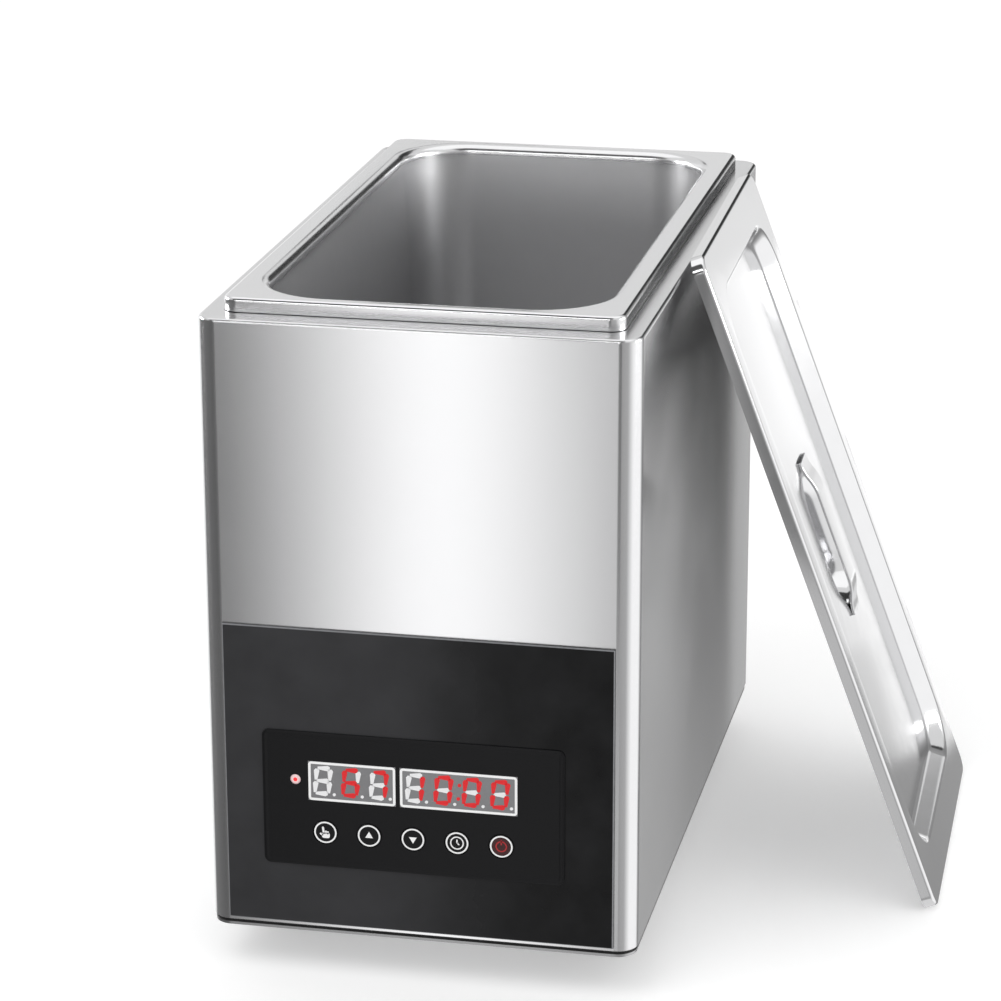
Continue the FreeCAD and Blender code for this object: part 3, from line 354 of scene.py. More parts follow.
def add_node(tree, kind, links=None, sockets=None, stops=(), **settings):
    """Adds a node with its settings, its sockets' values, its links and a ramp's (position, level) stops.

    kind is its type without ShaderNode. A link that names a node starts at its first output.
    """
    node = tree.nodes.new("ShaderNode" + kind)
    for key, value in settings.items():
        setattr(node, key, value)
    for key, value in (sockets or {}).items():
        node.inputs[key].default_value = value
    for key, source in (links or {}).items():
        output = source.outputs[0] if isinstance(source, bpy.types.Node) else source
        tree.links.new(output, node.inputs[key])
    if stops:
        elements = node.color_ramp.elements
        elements.remove(elements[1])
        for i, (position, level) in enumerate(stops):
            stop = elements.new(position) if i else elements[0]
            stop.position, stop.color = position, (level, level, level, 1)
    return node


def empty_tree(holder):
    """Empties the nodes of a material or world; returns the function that adds nodes to them."""
    holder.use_nodes = True
    holder.node_tree.nodes.clear()
    return functools.partial(add_node, holder.node_tree)


def new_material(name):
    """An empty material, and the function that adds nodes to it."""
    material = bpy.data.materials.new(name)
    return material, empty_tree(material)


def shade(colour, share):
    """A linear colour, made darker or lighter."""
    return (*(min(c * share, 1) for c in colour[:3]), 1)


def tone_of(tone):
    """A linear colour from sRGB hex, or from one of the settings' colours and its share."""
    if isinstance(tone, str):
        return linear(tone)
    setting, share = tone
    return shade(getattr(bpy.context.scene.boiler_finish, setting), share)


# Where nearly all of a noise's values lie
NOISE_SPAN = (0.3, 0.7)


def surface(add, tone, rough, relief=None, span=NOISE_SPAN, links=None, sockets=None):
    """Adds the shader of a surface whose tone and roughness run between two values as a pattern does.

    tone and rough are the pattern and its two values, relief is the pattern, strength and depth of a bump,
    span is the part of rough's pattern that counts, and links and sockets are for the shader.
    """
    mixed = add(
        "Mix", data_type="RGBA", links={"Factor": tone[0]},
        sockets={6: tone_of(tone[1]), 7: tone_of(tone[2])},
    ).outputs[2]
    ends = {"From Min": span[0], "From Max": span[1], "To Min": rough[1], "To Max": rough[2]}
    ranged = add("MapRange", links={"Value": rough[0]}, sockets=ends)
    links = {"Base Color": mixed, "Roughness": ranged, **(links or {})}
    if relief:
        depth = {"Strength": relief[1], "Distance": relief[2]}
        links["Normal"] = add("Bump", links={"Height": relief[0]}, sockets=depth)
    if "Emission Strength" in (sockets or {}):
        links["Emission Color"] = mixed
    shader = add("BsdfPrincipled", links=links, sockets=sockets)
    add("OutputMaterial", links={"Surface": shader})
    return shader


@functools.cache
def satin_stainless():
    """304 sheet with a fine level brushing: its reflections smear up and down and stay crisp sideways."""
    material, add = new_material("brushed_stainless_304")
    spot = add("TexCoord").outputs["Object"]
    # brushing lines are 0.1 mm apart; drawn at 0.4 mm so that they show
    stretch = add("Mapping", links={"Vector": spot}, sockets={"Scale": (0.03, 0.03, 1)})
    grain = add(
        "TexNoise", links={"Vector": stretch},
        sockets={"Scale": 1 / (0.4 * MM), "Detail": 3, "Roughness": 0.6},
    )
    cloud = add("TexNoise", links={"Vector": spot}, sockets={"Scale": 1 / (60 * MM), "Detail": 2})
    # the brushing runs level on the walls and from side to side on the deck
    normal = add("NewGeometry").outputs["Normal"]
    along = add("VectorMath", operation="CROSS_PRODUCT", links={1: normal}, sockets={0: (0, 0.01, 1)})
    surface(
        add, (grain, ("stainless", 0.97), ("stainless", 1.02)), (cloud, 0.155, 0.18),
        (grain, 0.02, 0.05 * MM), links={"Tangent": along},
        sockets={"Metallic": 1, "Anisotropic": 1, "Anisotropic Rotation": 0.25},
    )
    return material


def drawn_steel(name, smooth, hazy, wave):
    """Deep-drawn 304: the faint waves that drawing leaves, under a slight haze."""
    material, add = new_material(name)
    spot = add("TexCoord").outputs["Object"]
    waves = add("TexNoise", links={"Vector": spot}, sockets={"Scale": 1 / (45 * MM), "Detail": 0})
    haze = add("TexNoise", links={"Vector": spot}, sockets={"Scale": 1 / (9 * MM), "Detail": 2})
    shader = surface(
        add, (haze, ("stainless", 0.99), ("stainless", 1.03)), (haze, smooth, hazy), (waves, wave, 0.6 * MM),
        sockets={"Metallic": 1},
    )
    return material, add, spot, shader


@functools.cache
def drawn_stainless():
    """Bright drawn sheet of the lid: wavy mirror images with hardly any haze."""
    return drawn_steel("bright_drawn_stainless_304", 0.11, 0.13, 0.08)[0]


@functools.cache
def scoured_and_shaded_stainless():
    """Drawn pan: satin on its rim, dulled inside by hot water and scouring, so that light spreads there, and
    darkened inside by painted shade.
    """
    material, add, spot, shader = drawn_steel("scoured_drawn_stainless_304", 0.16, 0.19, 0.02)
    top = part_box("gn_pan")[1].z
    height = add("SeparateXYZ", links={"Vector": spot}).outputs["Z"]
    inside = add(
        "MapRange", interpolation_type="SMOOTHSTEP", links={"Value": height},
        sockets={"From Min": top - 10 * MM, "From Max": top - 0.5 * MM, "To Min": 1, "To Max": 0},
    )
    colour, roughness = shader.inputs["Base Color"], shader.inputs["Roughness"]
    tone, rough = colour.links[0].from_socket, roughness.links[0].from_socket
    # painted shade: the tone is darkened inside the pan, below the rim
    painted_shade_inside = add(
        "Mix", data_type="RGBA", blend_type="MULTIPLY", links={"Factor": inside, 6: tone},
        sockets={7: (0.9, 0.9, 0.9, 1)},
    )
    worn = add("Mix", links={"Factor": inside, "A": rough}, sockets={"B": 0.37})
    material.node_tree.links.new(painted_shade_inside.outputs[2], colour)
    material.node_tree.links.new(worn.outputs[0], roughness)
    return material


@functools.cache
def printed_plate():
    """Acrylic plate printed black on its back, with smears and a painted sheen that makes it lighter towards
    its left.
    """
    material, add = new_material("back_printed_acrylic")
    spot = add("TexCoord").outputs["Object"]
    smears = add("TexNoise", links={"Vector": spot}, sockets={"Scale": 1 / (22 * MM), "Detail": 3})
    across = add("SeparateXYZ", links={"Vector": spot}).outputs["X"]
    # painted sheen: the plate's tone grows lighter towards its left
    painted_sheen_left = add(
        "MapRange", interpolation_type="SMOOTHSTEP", links={"Value": across},
        sockets={"From Min": -20 * MM, "From Max": 45 * MM, "To Min": 1, "To Max": 0},
    )
    # smears, with the painted sheen added to them
    haze = add("Math", operation="MULTIPLY_ADD", links={0: smears, 2: painted_sheen_left}, sockets={1: 0.7})
    level = add("MapRange", links={"Value": haze}, sockets={"From Min": 0.2, "From Max": 1.6})
    surface(
        add, (level, ("panel", 1), ("panel_smears_and_sheen", 1)), (level, 0.22, 0.42), span=(0, 1),
        sockets={"Specular IOR Level": 0.14},
    )
    return material


METAL = {"Metallic": 1}

# Finishes with one fine grain, by the record's slot or by their use: name, darker and lighter tone, grit in
# millimetres, roughness, strength of the relief, and the shader's other values
GRAINED = {
    # unpolished sheet of the well and the inner plates: grey, with a blurred shine
    "mill_stainless": ("mill_finish_stainless", "#9b9b9c", "#b0b0b1", 0.5, 0.34, 0.1, METAL),
    # plated screws and nuts: warm grey, faintly spangled
    "zinc_steel": ("zinc_plated_steel", "#a3a39c", "#b9b8b0", 0.8, 0.3, 0.1, METAL),
    # heat spreader: pale, soft shine
    "aluminium_plate": ("rolled_aluminium", "#c2c3c4", "#d4d5d6", 0.6, 0.35, 0.1, METAL),
    # spacers: warm yellow, bright
    "brass_spacer": ("turned_brass", "#b08d45", "#c9a65a", 0.5, 0.28, 0.1, METAL),
    # feet and seal: black without a shine
    "black_rubber": ("moulded_nitrile_rubber", ("rubber", 0.49), ("rubber", 1), 0.6, 0.72, 0.3, {}),
    # lagging of the well: matt straw colour, coarse to the eye
    "mineral_wool": ("pressed_mineral_wool", "#a99a6b", "#d2c595", 1.5, 0.95, 0.9, {}),
    # embossed film over the keys: deep black with a soft, broken sheen
    "black_film": (
        "textured_polyester", ("film", 0.56), ("film", 1), 0.9, 0.38, 0.06, {"Specular IOR Level": 0.16}
    ),
    # key caps and gland: black with a fine satin grain
    "black_nylon": ("moulded_nylon", "#0f0f10", "#18181a", 0.5, 0.45, 0.08, {"Specular IOR Level": 0.18}),
    # pane over a display: even grey under a clear gloss
    "grey_pane": ("tinted_acrylic_pane", "#6d6d6f", "#7a7a7c", 3, 0.25, 0.02, {"Coat Weight": 0.4}),
    # body of a digit display: dark grey and dull
    "display_face": ("cast_epoxy_grey", "#3a3a3c", "#444446", 1, 0.4, 0.1, {}),
    # lamp, lit from inside: a red that glows
    "red_lamp": ("cast_red_resin", "#c9141a", "#f02a2c", 0.8, 0.2, 0.1, {"Emission Strength": 1.2}),
    # circuit board under its mask: green under a thin gloss
    "green_laminate": ("green_glass_epoxy", "#0e4a25", "#176236", 0.7, 0.4, 0.1, {"Coat Weight": 0.3}),
    # transformer dipped in lacquer: brown grey, half gloss
    "lacquered_core": ("lacquered_core_steel", "#4a4036", "#5c5044", 0.6, 0.45, 0.1, {}),
    # terminal block: deep brown
    "brown_phenolic": ("moulded_phenolic", "#33190f", "#452418", 0.6, 0.4, 0.1, {}),
    # bevelled saw cut through the front plate: lighter and glossier than its face
    "cut_edge": ("polished_acrylic_edge", "#6c6d70", "#8a8b8e", 2, 0.22, 0.02, {}),
    # frosted ring round the lamp: a painted glow, pink where the red light spreads in it
    "lamp_halo": ("frosted_pink_resin", "#f6cccc", "#fde4e4", 0.3, 0.4, 0.05, {}),
    # white print: flat and fully covering
    "white_ink": ("white_screen_ink", ("ink", 0.905), ("ink", 1), 0.3, 0.5, 0.05, {}),
    # power sign: flat red
    "red_ink": ("red_screen_ink", "#a0181d", "#b82227", 0.3, 0.5, 0.05, {}),
    # thin red over black: so dark that it only tints the key
    "dark_red_ink": ("dark_red_screen_ink", "#35080b", "#470c10", 0.4, 0.5, 0.05, {}),
    # lit stroke: diffused red with a glow of its own
    "lit_stroke": ("lit_red_resin", ("lit", 0.78), ("lit", 1), 0.7, 0.4, 0.02, {"Emission Strength": 0.35}),
    # unlit stroke: milky white
    "unlit_stroke": ("unlit_milky_resin", "#ebebec", "#f7f7f8", 0.4, 0.45, 0.05, {}),
}


@functools.cache
def grained(use):
    """A moulded, cast, rolled or printed surface: two close tones in its grain, with a matching relief."""
    name, dark, light, grit, roughness, relief, values = GRAINED[use]
    material, add = new_material(name)
    spot = add("TexCoord").outputs["Object"]
    grain = add("TexNoise", links={"Vector": spot}, sockets={"Scale": 1 / (grit * MM), "Detail": 3})
    roughs = (grain, roughness * 0.9, roughness * 1.1)
    surface(add, (grain, dark, light), roughs, (grain, relief, grit * MM * 0.2), sockets=values)
    return material


OWN_FINISHES = {
    "satin_stainless": satin_stainless, "drawn_stainless": drawn_stainless, "black_front": printed_plate,
}


def slot_finish(slot):
    """The finish of a material slot in the record."""
    return OWN_FINISHES[slot]() if slot in OWN_FINISHES else grained(slot)


# ---------------------------------------------------------------- pieces


class BuildFinishes(bpy.types.Operator):
    """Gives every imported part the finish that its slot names"""

    bl_idname = "eggboiler.finishes"
    bl_label = "Finishes"

    def execute(self, context):
        for node, part in frame["nodes"].items():
            part.data.materials.clear()
            part.data.materials.append(slot_finish(SLOT_OF[node]))
        return {"FINISHED"}


class BuildShell(bpy.types.Operator):
    """Folded housing with upright round corners, a bend round the deck and the mouth for the pan"""

    bl_idname = "eggboiler.shell"
    bl_label = "Housing"

    def execute(self, context):
        shell, pan = context.scene.boiler_shell, context.scene.boiler_pan
        low, rear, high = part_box("front_wall")[0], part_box("rear_wall")[1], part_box("top_deck")[1]
        wide, deep, top = high.x - low.x, rear.y - low.y, high.z
        hem, flange_corner = 0.4 * MM, 4 * MM
        bend_start = (0, top - shell.deck_bend)
        walls = [(hem, low.z), (0, low.z + hem), bend_start]
        walls += bend(bend_start, (shell.deck_bend, top), "level", 6)
        pan_low, pan_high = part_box("gn_pan")
        mouth_wide, mouth_long = (
            size - 2 * (rim - pan.sheet - shell.mouth_gap)
            for size, rim in zip(pan_high - pan_low, (pan.rim_side, pan.rim_end))
        )
        rings = [(wide - 2 * shell.flange, deep - 2 * shell.flange, flange_corner, low.z)]
        rings += inset(wide, deep, shell.corner, walls)
        rings += [(mouth_wide, mouth_long, shell.mouth_corner, top)]
        bm = bmesh.new()
        skin(bm, rings)
        finish("housing_sheet", bm, "housing", "satin_stainless", sheet=shell.sheet, replaces=WALLS)
        return {"FINISHED"}


class BuildPan(bpy.types.Operator):
    """Drawn pan: turned-down rim, rolled mouth, walls that lean in, round floor"""

    bl_idname = "eggboiler.pan"
    bl_label = "Pan"

    def execute(self, context):
        pan = context.scene.boiler_pan
        low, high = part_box("gn_pan")
        centre = ((low.x + high.x) / 2, (low.y + high.y) / 2)
        wide, deep, top = high.x - low.x, high.y - low.y, high.z
        rim_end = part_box("top_deck")[1].z + 0.3 * MM
        bend_start = (0, top - pan.rim_bend)
        rim = [(0, rim_end), bend_start] + bend(bend_start, (pan.rim_bend, top), "level", 6)
        roll, wall_top = (-pan.mouth_roll, top), top - pan.mouth_roll
        wall = [roll] + bend(roll, (0, wall_top), "inset", 8)
        floor = low.z + pan.sheet
        drop = wall_top - floor - pan.floor_bend
        steps = 6
        for i in range(1, steps + 1):
            level = wall_top - drop * i / steps
            wall.append((pan.lean_in * (top - level) / (top - floor), level))
        foot = wall[-1]
        wall += bend(foot, (foot[0] + pan.floor_bend, floor), "level", 8)
        rings = inset(wide, deep, pan.rim_corner, rim)
        rings += inset(wide - 2 * pan.rim_side, deep - 2 * pan.rim_end, pan.mouth_corner, wall)
        bm = bmesh.new()
        cap(bm, skin(bm, rings, centre))
        scoured_and_shaded = [scoured_and_shaded_stainless()]
        finish("drawn_pan", bm, "pan", "drawn_stainless", scoured_and_shaded, sheet=pan.sheet, replaces=("gn_pan",))
        return {"FINISHED"}


# Bends pressed in the lid, in millimetres from the corner that each one rounds
DISH_SHOULDER = [(-2, 0), (-1, -0.25), (-0.2, -0.9), (0.6, -1.8)]
DISH_FOOT = [(-1, 1.4), (0, 0.5), (1, 0.1), (2, 0)]
GRIP_SHOULDER = [(-2, 0), (-0.9, -0.2), (0, -0.9), (0.7, -2)]
GRIP_FOOT = [(-1.2, 3), (0.2, 1.1), (1.6, 0.25), (3, 0)]


def lid_place(lid):
    """Matrix that stands the flat lid on its lower lip, leaning on the housing."""
    upright = math.radians(90)
    turn = Matrix.Rotation(upright + lid.yaw, 4, "Z") @ Matrix.Rotation(upright - lid.lean, 4, "X")
    corner = turn @ Vector((-lid.width / 2, -lid.long / 2, -lid.skirt))
    return Matrix.Translation(Vector((lid.foot_x, lid.foot_y, 0)) - corner) @ turn


class BuildLid(bpy.types.Operator):
    """Pressed lid with its edge, border, dish, hand recess and strap"""

    bl_idname = "eggboiler.lid"
    bl_label = "Lid"

    def execute(self, context):
        lid = context.scene.boiler_lid
        place = lid_place(lid)
        bend_start = (0, -lid.edge_bend)
        edge = [(0, -lid.skirt), bend_start] + bend(bend_start, (lid.edge_bend, 0), "level", 6)
        floor = -lid.dish
        dish = from_point(0, 0, DISH_SHOULDER) + from_point(lid.dish_slope, floor, DISH_FOOT)
        grip = from_point(0, floor, GRIP_SHOULDER) + from_point(lid.grip_slope, floor - lid.grip, GRIP_FOOT)
        rings = inset(lid.width, lid.long, lid.corner, edge)
        rings += inset(lid.width - 2 * lid.border_side, lid.long - 2 * lid.border_end, lid.dish_corner, dish)
        rings += inset(lid.grip_wide, lid.grip_long, lid.grip_wide / 2 - NOT_QUITE_ROUND, grip)
        bm = bmesh.new()
        cap(bm, skin(bm, rings))
        finish(
            "pressed_lid", bm, "lid", "drawn_stainless", place=place, sheet=lid.sheet, replaces=("lid_sheet",)
        )
        self.strap(lid, place)
        return {"FINISHED"}

    def strap(self, lid, place):
        """Flat strip with two soft bends at each end, welded to the dish beyond the hand recess."""
        bm = bmesh.new()
        foot, toe, crown = lid.strap_long / 2, lid.strap_bends / 2, lid.strap_crown / 2
        line = [(-foot, 0), (-toe, 0), (-crown, lid.strap_rise), (crown, lid.strap_rise), (toe, 0), (foot, 0)]
        verts = [bm.verts.new((0, y, z - lid.dish)) for y, z in line]
        for pair in zip(verts, verts[1:]):
            bm.edges.new(pair)
        round_off(bm, verts[1:-1], 4 * MM, "VERTICES", 6)
        bmesh.ops.translate(bm, vec=(-lid.strap_wide / 2, 0, 0), verts=bm.verts[:])
        side = grown_verts(bmesh.ops.extrude_edge_only(bm, edges=bm.edges[:]))
        bmesh.ops.translate(bm, vec=(lid.strap_wide, 0, 0), verts=side)
        bmesh.ops.recalc_face_normals(bm, faces=bm.faces[:])
        up = sum((f.normal.z for f in bm.faces), 0.0) > 0
        thick = lid.strap_sheet
        bmesh.ops.solidify(bm, geom=bm.faces[:], thickness=-thick if up else thick)
        corners = [
            e for e in bm.edges
            if abs(abs(e.verts[0].co.y) - foot) < WELD and abs(e.verts[0].co.z - e.verts[1].co.z) > thick / 2
        ]
        round_off(bm, corners, lid.strap_wide / 2 - NOT_QUITE_ROUND, "EDGES", 10)
        rim = [e for e in bm.edges if len(e.link_faces) == 2 and e.calc_face_angle() > math.radians(60)]
        round_off(bm, rim, 0.5 * MM, "EDGES", 3)
        finish("lid_strap", bm, "lid", "drawn_stainless", place=place, replaces=("lid_handle",))


class BuildFront(bpy.types.Operator):
    """Black front plate with its bright bevel, and the key membrane with a raised border"""

    bl_idname = "eggboiler.front"
    bl_label = "Front"

    def execute(self, context):
        bevel = [grained("cut_edge")]
        smooth_copy("control_panel", "housing", bevel, lambda f: int(0.1 < abs(f.normal.y) < 0.95), sharp=10)
        smooth_copy("key_membrane", "housing", sharp=20)
        low, high, middle = front_of("key_membrane")
        ridge = from_point(0, 0, [(0.3, 0), (0.8, 0.16), (1.6, 0.16), (2.4, 0)])
        bm = bmesh.new()
        skin(bm, inset(high.x - low.x, high.z - low.z, 3 * MM, ridge), middle, 8)
        finish("membrane_border", bm, "housing", "black_film", place=facing_front(low.y), sharp=60)
        return {"FINISHED"}


# Strokes that each character lights
SEGMENTS = {
    "0": "abcdef", "1": "bc", "2": "abged", "3": "abgcd", "4": "fgbc", "5": "afgcd", "6": "afgedc",
    "7": "abc", "8": "abcdefg", "9": "abcdfg", " ": "",
}
# Place of each stroke to the right and up, as shares of the way to the outer strokes, and its turn in degrees
STROKES = {
    "a": (0, 1, 0), "g": (0, 0, 0), "d": (0, -1, 0),
    "f": (-1, 0.5, 90), "b": (1, 0.5, 90), "e": (-1, -0.5, 90), "c": (1, -0.5, 90),
}


class BuildDisplays(bpy.types.Operator):
    """Seven-segment digits, lit and unlit, their points, the colon and the white frames"""

    bl_idname = "eggboiler.displays"
    bl_label = "Displays"

    def execute(self, context):
        front = context.scene.boiler_front
        for label, shown in (("temperature", front.temperature), ("timer", front.timer)):
            low, high, middle = front_of(label + "_window")
            self.digits(front, label, shown, middle, facing_front(low.y + 0.01 * MM))
            self.frame_line(front, label, low, high, middle)
        return {"FINISHED"}

    def digits(self, front, label, shown, middle, place):
        """Two meshes for one display: the lit strokes and the unlit ones."""
        lit, unlit = bmesh.new(), bmesh.new()
        x, y = (front.digit_wide - front.stroke) / 2, (front.digit_high - front.stroke) / 2
        gap, point, colon, colon_up = 0.35 * MM, 0.75 * MM, 0.85 * MM, 3.2 * MM
        for i, character in enumerate(shown):
            across = (i - (len(shown) - 1) / 2) * front.digit_pitch
            # a little to the left and up, which leaves room for the points
            start = middle + Vector((across - 0.5 * MM, 0.3 * MM))
            for name, (right, up, turn) in STROKES.items():
                target = lit if name in SEGMENTS[character] else unlit
                self.stroke(target, front, start, (right * x, up * y), turn, (y if turn else 2 * x) - gap)
            self.dot(unlit, front, start, (front.digit_wide / 2 + 2 * point, -y - 0.2 * MM), point)
        if label == "timer":
            for up in (-colon_up, colon_up):
                self.dot(lit, front, middle, (0.2 * MM, up), colon)
        print_mark(label + "_lit", lit, "housing", "lit_stroke", place)
        print_mark(label + "_unlit", unlit, "housing", "unlit_stroke", place)

    def stroke(self, bm, front, start, offset, turn, stretch):
        """One segment: a bar with pointed ends, slanted with its digit."""
        tips = bmesh.ops.create_circle(bm, cap_ends=True, radius=front.stroke / 2, segments=6)["verts"]
        for tip in tips:
            tip.co.x += math.copysign(stretch / 2 - front.stroke / 2, tip.co.x)
            tip.co.y *= 1 / math.cos(math.radians(30))
        self.set_down(bm, tips, front, start, offset, turn)

    def dot(self, bm, front, start, offset, radius):
        """One round point."""
        rim = bmesh.ops.create_circle(bm, cap_ends=True, radius=radius, segments=16)["verts"]
        self.set_down(bm, rim, front, start, offset, 0)

    def set_down(self, bm, verts, front, start, offset, turn):
        """Turns a flat mark, slants it, puts it in place and gives it its printed height."""
        slant = Matrix.Identity(4)
        slant[0][1] = math.tan(front.slant)
        place = Matrix.Translation((*start, 0)) @ slant @ Matrix.Translation((*offset, 0))
        bmesh.ops.transform(bm, matrix=place @ Matrix.Rotation(math.radians(turn), 4, "Z"), verts=verts)
        raise_mark(bm, verts)

    def frame_line(self, front, label, low, high, middle):
        """White line printed on the film round one window."""
        bm = bmesh.new()
        line = front.frame_line
        profile = [(0.1 * MM, 0), (line, 0)]
        skin(bm, inset(high.x - low.x, high.z - low.z, line + 0.3 * MM, profile), middle, 3)
        raise_mark(bm, bm.verts[:])
        print_mark(label + "_frame", bm, "housing", "white_ink", facing_front(low.y))


def raise_mark(bm, verts):
    """Gives flat marks a printed thickness."""
    chosen = set(verts)
    faces = [f for f in bm.faces if all(v in chosen for v in f.verts)]
    grown = bmesh.ops.extrude_face_region(bm, geom=faces, use_keep_orig=True)
    height = bpy.context.scene.boiler_front.print_high
    bmesh.ops.translate(bm, vec=(0, 0, height), verts=grown_verts(grown))


def band(bm, outer, inner):
    """A flat printed ring."""
    edges = []
    for radius in (outer, inner):
        verts = bmesh.ops.create_circle(bm, radius=radius, segments=40)["verts"]
        edges += list({e for v in verts for e in v.link_edges})
    faces = bmesh.ops.bridge_loops(bm, edges=edges)["faces"]
    raise_mark(bm, list({v for f in faces for v in f.verts}))


def blot(bm, wide, tall, corner, centre=(0, 0), turn=0.0, segments=4):
    """A flat printed rounded patch."""
    edges = rounded_ring(bm, wide, tall, min(corner, wide / 2.01, tall / 2.01), 0, (0, 0), segments)
    verts = list({v for e in edges for v in e.verts})
    cap(bm, edges)
    place = Matrix.Translation((*centre, 0)) @ Matrix.Rotation(math.radians(turn), 4, "Z")
    bmesh.ops.transform(bm, matrix=place, verts=verts)
    raise_mark(bm, verts)


# Signs of the keys, in millimetres and degrees. A triangle's turn:
SIGN_ARROWS = {"plus_key": 0, "minus_key": 180}
# outer and inner radius of a ring:
SIGN_RINGS = {"timer_key": (3.1, 2.55), "power_key": (2.6, 2.0)}
# width, height, corner, place to the right and up, and turn of each rounded patch:
SIGN_PATCHES = {
    # palm, raised finger, two folded fingers and thumb of a hand
    "set_key": [
        (3.6, 2.6, 0.9, 0.2, -1.4, 0), (0.95, 3.6, 0.45, -0.9, 0.9, 8), (0.85, 1.5, 0.4, 0.2, 0.1, -6),
        (0.85, 1.5, 0.4, 1.1, -0.1, -6), (1.7, 0.8, 0.35, -1.8, -1, -32),
    ],
    # hands of a clock
    "timer_key": [(0.6, 2, 0.25, 0, 0.7, 0), (0.6, 1.5, 0.25, 0.45, -0.35, 50)],
    # bar that crosses the ring
    "power_key": [(0.6, 2.4, 0.25, 0, 1.9, 0)],
}


class BuildKeys(bpy.types.Operator):
    """Key caps with their printed rings and signs"""

    bl_idname = "eggboiler.keys"
    bl_label = "Keys"

    def execute(self, context):
        front = context.scene.boiler_front
        ring_radius, disc_wide = 5.1 * MM, 8.4 * MM
        step_back = front.print_high * 1.5
        for key in KEYS:
            body = key + "_cap"
            low, _, middle = front_of(key)
            smooth_copy(key, body, step_back=step_back)
            place = Matrix.Translation((middle.x, 0, middle.y)) @ facing_front(low.y + step_back)
            ink = "white_ink"
            if key == "power_key":
                disc = bmesh.new()
                blot(disc, disc_wide, disc_wide, disc_wide / 2, segments=8)
                print_mark("power_disc", disc, body, "dark_red_ink", place)
                # its ring and sign stand proud of the disc
                place = place @ Matrix.Translation((0, 0, front.print_high / 2))
                ink = "red_ink"
            ring = bmesh.new()
            band(ring, ring_radius, ring_radius - front.key_ring)
            print_mark(key + "_ring", ring, body, "white_ink", place)
            print_mark(key + "_sign", self.sign(key), body, ink, place)
        return {"FINISHED"}

    def sign(self, key):
        """The sign of one key, drawn flat."""
        bm = bmesh.new()
        if key in SIGN_ARROWS:
            tips = bmesh.ops.create_circle(bm, cap_ends=True, radius=2 * MM, segments=3)["verts"]
            turn = Matrix.Rotation(math.radians(SIGN_ARROWS[key]), 3, "Z")
            bmesh.ops.rotate(bm, matrix=turn, verts=tips)
            raise_mark(bm, tips)
        if key in SIGN_RINGS:
            band(bm, *(radius * MM for radius in SIGN_RINGS[key]))
        for *lengths, turn in SIGN_PATCHES.get(key, ()):
            wide, tall, corner, right, up = (size * MM for size in lengths)
            blot(bm, wide, tall, corner, (right, up), turn)
        return bm


class BuildSmallParts(bpy.types.Operator):
    """Lamp, feet, gland, base and screws with their facets smoothed"""

    bl_idname = "eggboiler.small_parts"
    bl_label = "Small parts"

    def execute(self, context):
        for node in SMALL_PARTS:
            smooth_copy(node, "housing")
        smooth_copy("heating_lamp", "housing", [grained("lamp_halo")], lambda face: 1)
        low, _, middle = front_of("heating_lamp")
        core = 0.9 * MM
        bm = bmesh.new()
        blot(bm, 2 * core, 2 * core, core, middle, segments=6)
        finish("lamp_core", bm, "housing", "red_lamp", place=facing_front(low.y))
        return {"FINISHED"}


# ---------------------------------------------------------------- stage

WHITE = (1, 1, 1, 1)

# Studio screens round the object: bearing in degrees (0 in front, 90 to the right) and brightness there
SCREENS = [
    (-180, 0.5), (-173, 0.12), (-167, 0.15), (-162, 0.4), (-155, 1.1), (-112, 1.3), (-100, 0.25),
    (-30, 0.16), (-20, 0.22), (-18.5, 0.3), (-17, 0.58), (-15, 0.93), (-13.2, 1.26), (-11.2, 1.54),
    (-9.5, 1.62), (-8, 1.5), (-6, 1.25), (-4, 1.0), (-2.5, 0.75), (1, 0.45), (4, 0.25), (13, 0.25), (15, 0.5),
    (40, 0.6), (55, 1.1), (66, 1.4), (116, 1.4), (128, 0.6), (140, 0.3), (162.5, 0.5), (163.6, 0.68),
    (168, 0.46),
]

# Flat screens: centre, width and height in metres, tilt and turn in degrees, brightness
CARDS = {
    # soft boxes overhead, in front and behind, mirrored by the level rims and bends
    "overhead": ((0, 0.025, 1.1), (1.3, 0.85), 0, 0, 1.5),
    "front_box": ((-0.2, -0.85, 0.7), (0.6, 0.2), 90, 0, 4.5),
    "low_front_box": ((-0.2, -0.85, 0.37), (0.5, 0.06), 90, 0, 4.5),
    "back_box": ((-0.245, 0.8, 0.55), (0.55, 0.42), 90, 0, 0.95),
    "skirt_reflector": ((0.13, -0.86, -0.35), (0.2, 0.5), 90, 0, 0.75),
    # high side boxes that light the pan's far corners
    "left_box": ((-0.86, 0, 0.5), (0.7, 0.24), 90, 90, 10),
    "right_box": ((0.86, 0, 0.5), (0.7, 0.24), 90, 90, 10),
    # dark flags that draw the rim's lines
    "overhead_flag": ((-0.2, -0.63, 0.925), (1.1, 0.58), 37.3, 0, 0.12),
    "front_flag": ((-0.2, -0.85, 0.5), (0.5, 0.2), 90, 0, 0.05),
    "rim_flag": ((-0.055, -0.84, 0.415), (0.05, 0.23), 90, 0, 0.03),
    "back_shade": ((-0.2, 0.79, 0.57), (0.12, 0.08), 90, 0, 0.05),
    "back_flag": ((0.34, 0.83, 0.7), (0.58, 0.68), 90, 0, 0.05),
}

# The lid's reflector stands behind, in bands: lower and upper edge, left edge, brightness left and right
LID_BANDS = [
    (0.2, 0.27, 0.235, 1.05, 1.0), (0.06, 0.2, 0.25, 1.5, 1.1), (-0.06, 0.06, 0.31, 1.5, 0.85),
    (-0.15, -0.06, 0.35, 1.5, 0.5),
]
REFLECTOR_Y, REFLECTOR_RIGHT = 0.78, 0.6
# its brightness changes between these two distances along this direction
REFLECTOR_FADE = (0.338, 0.349), (0.936, 0, 0.351)


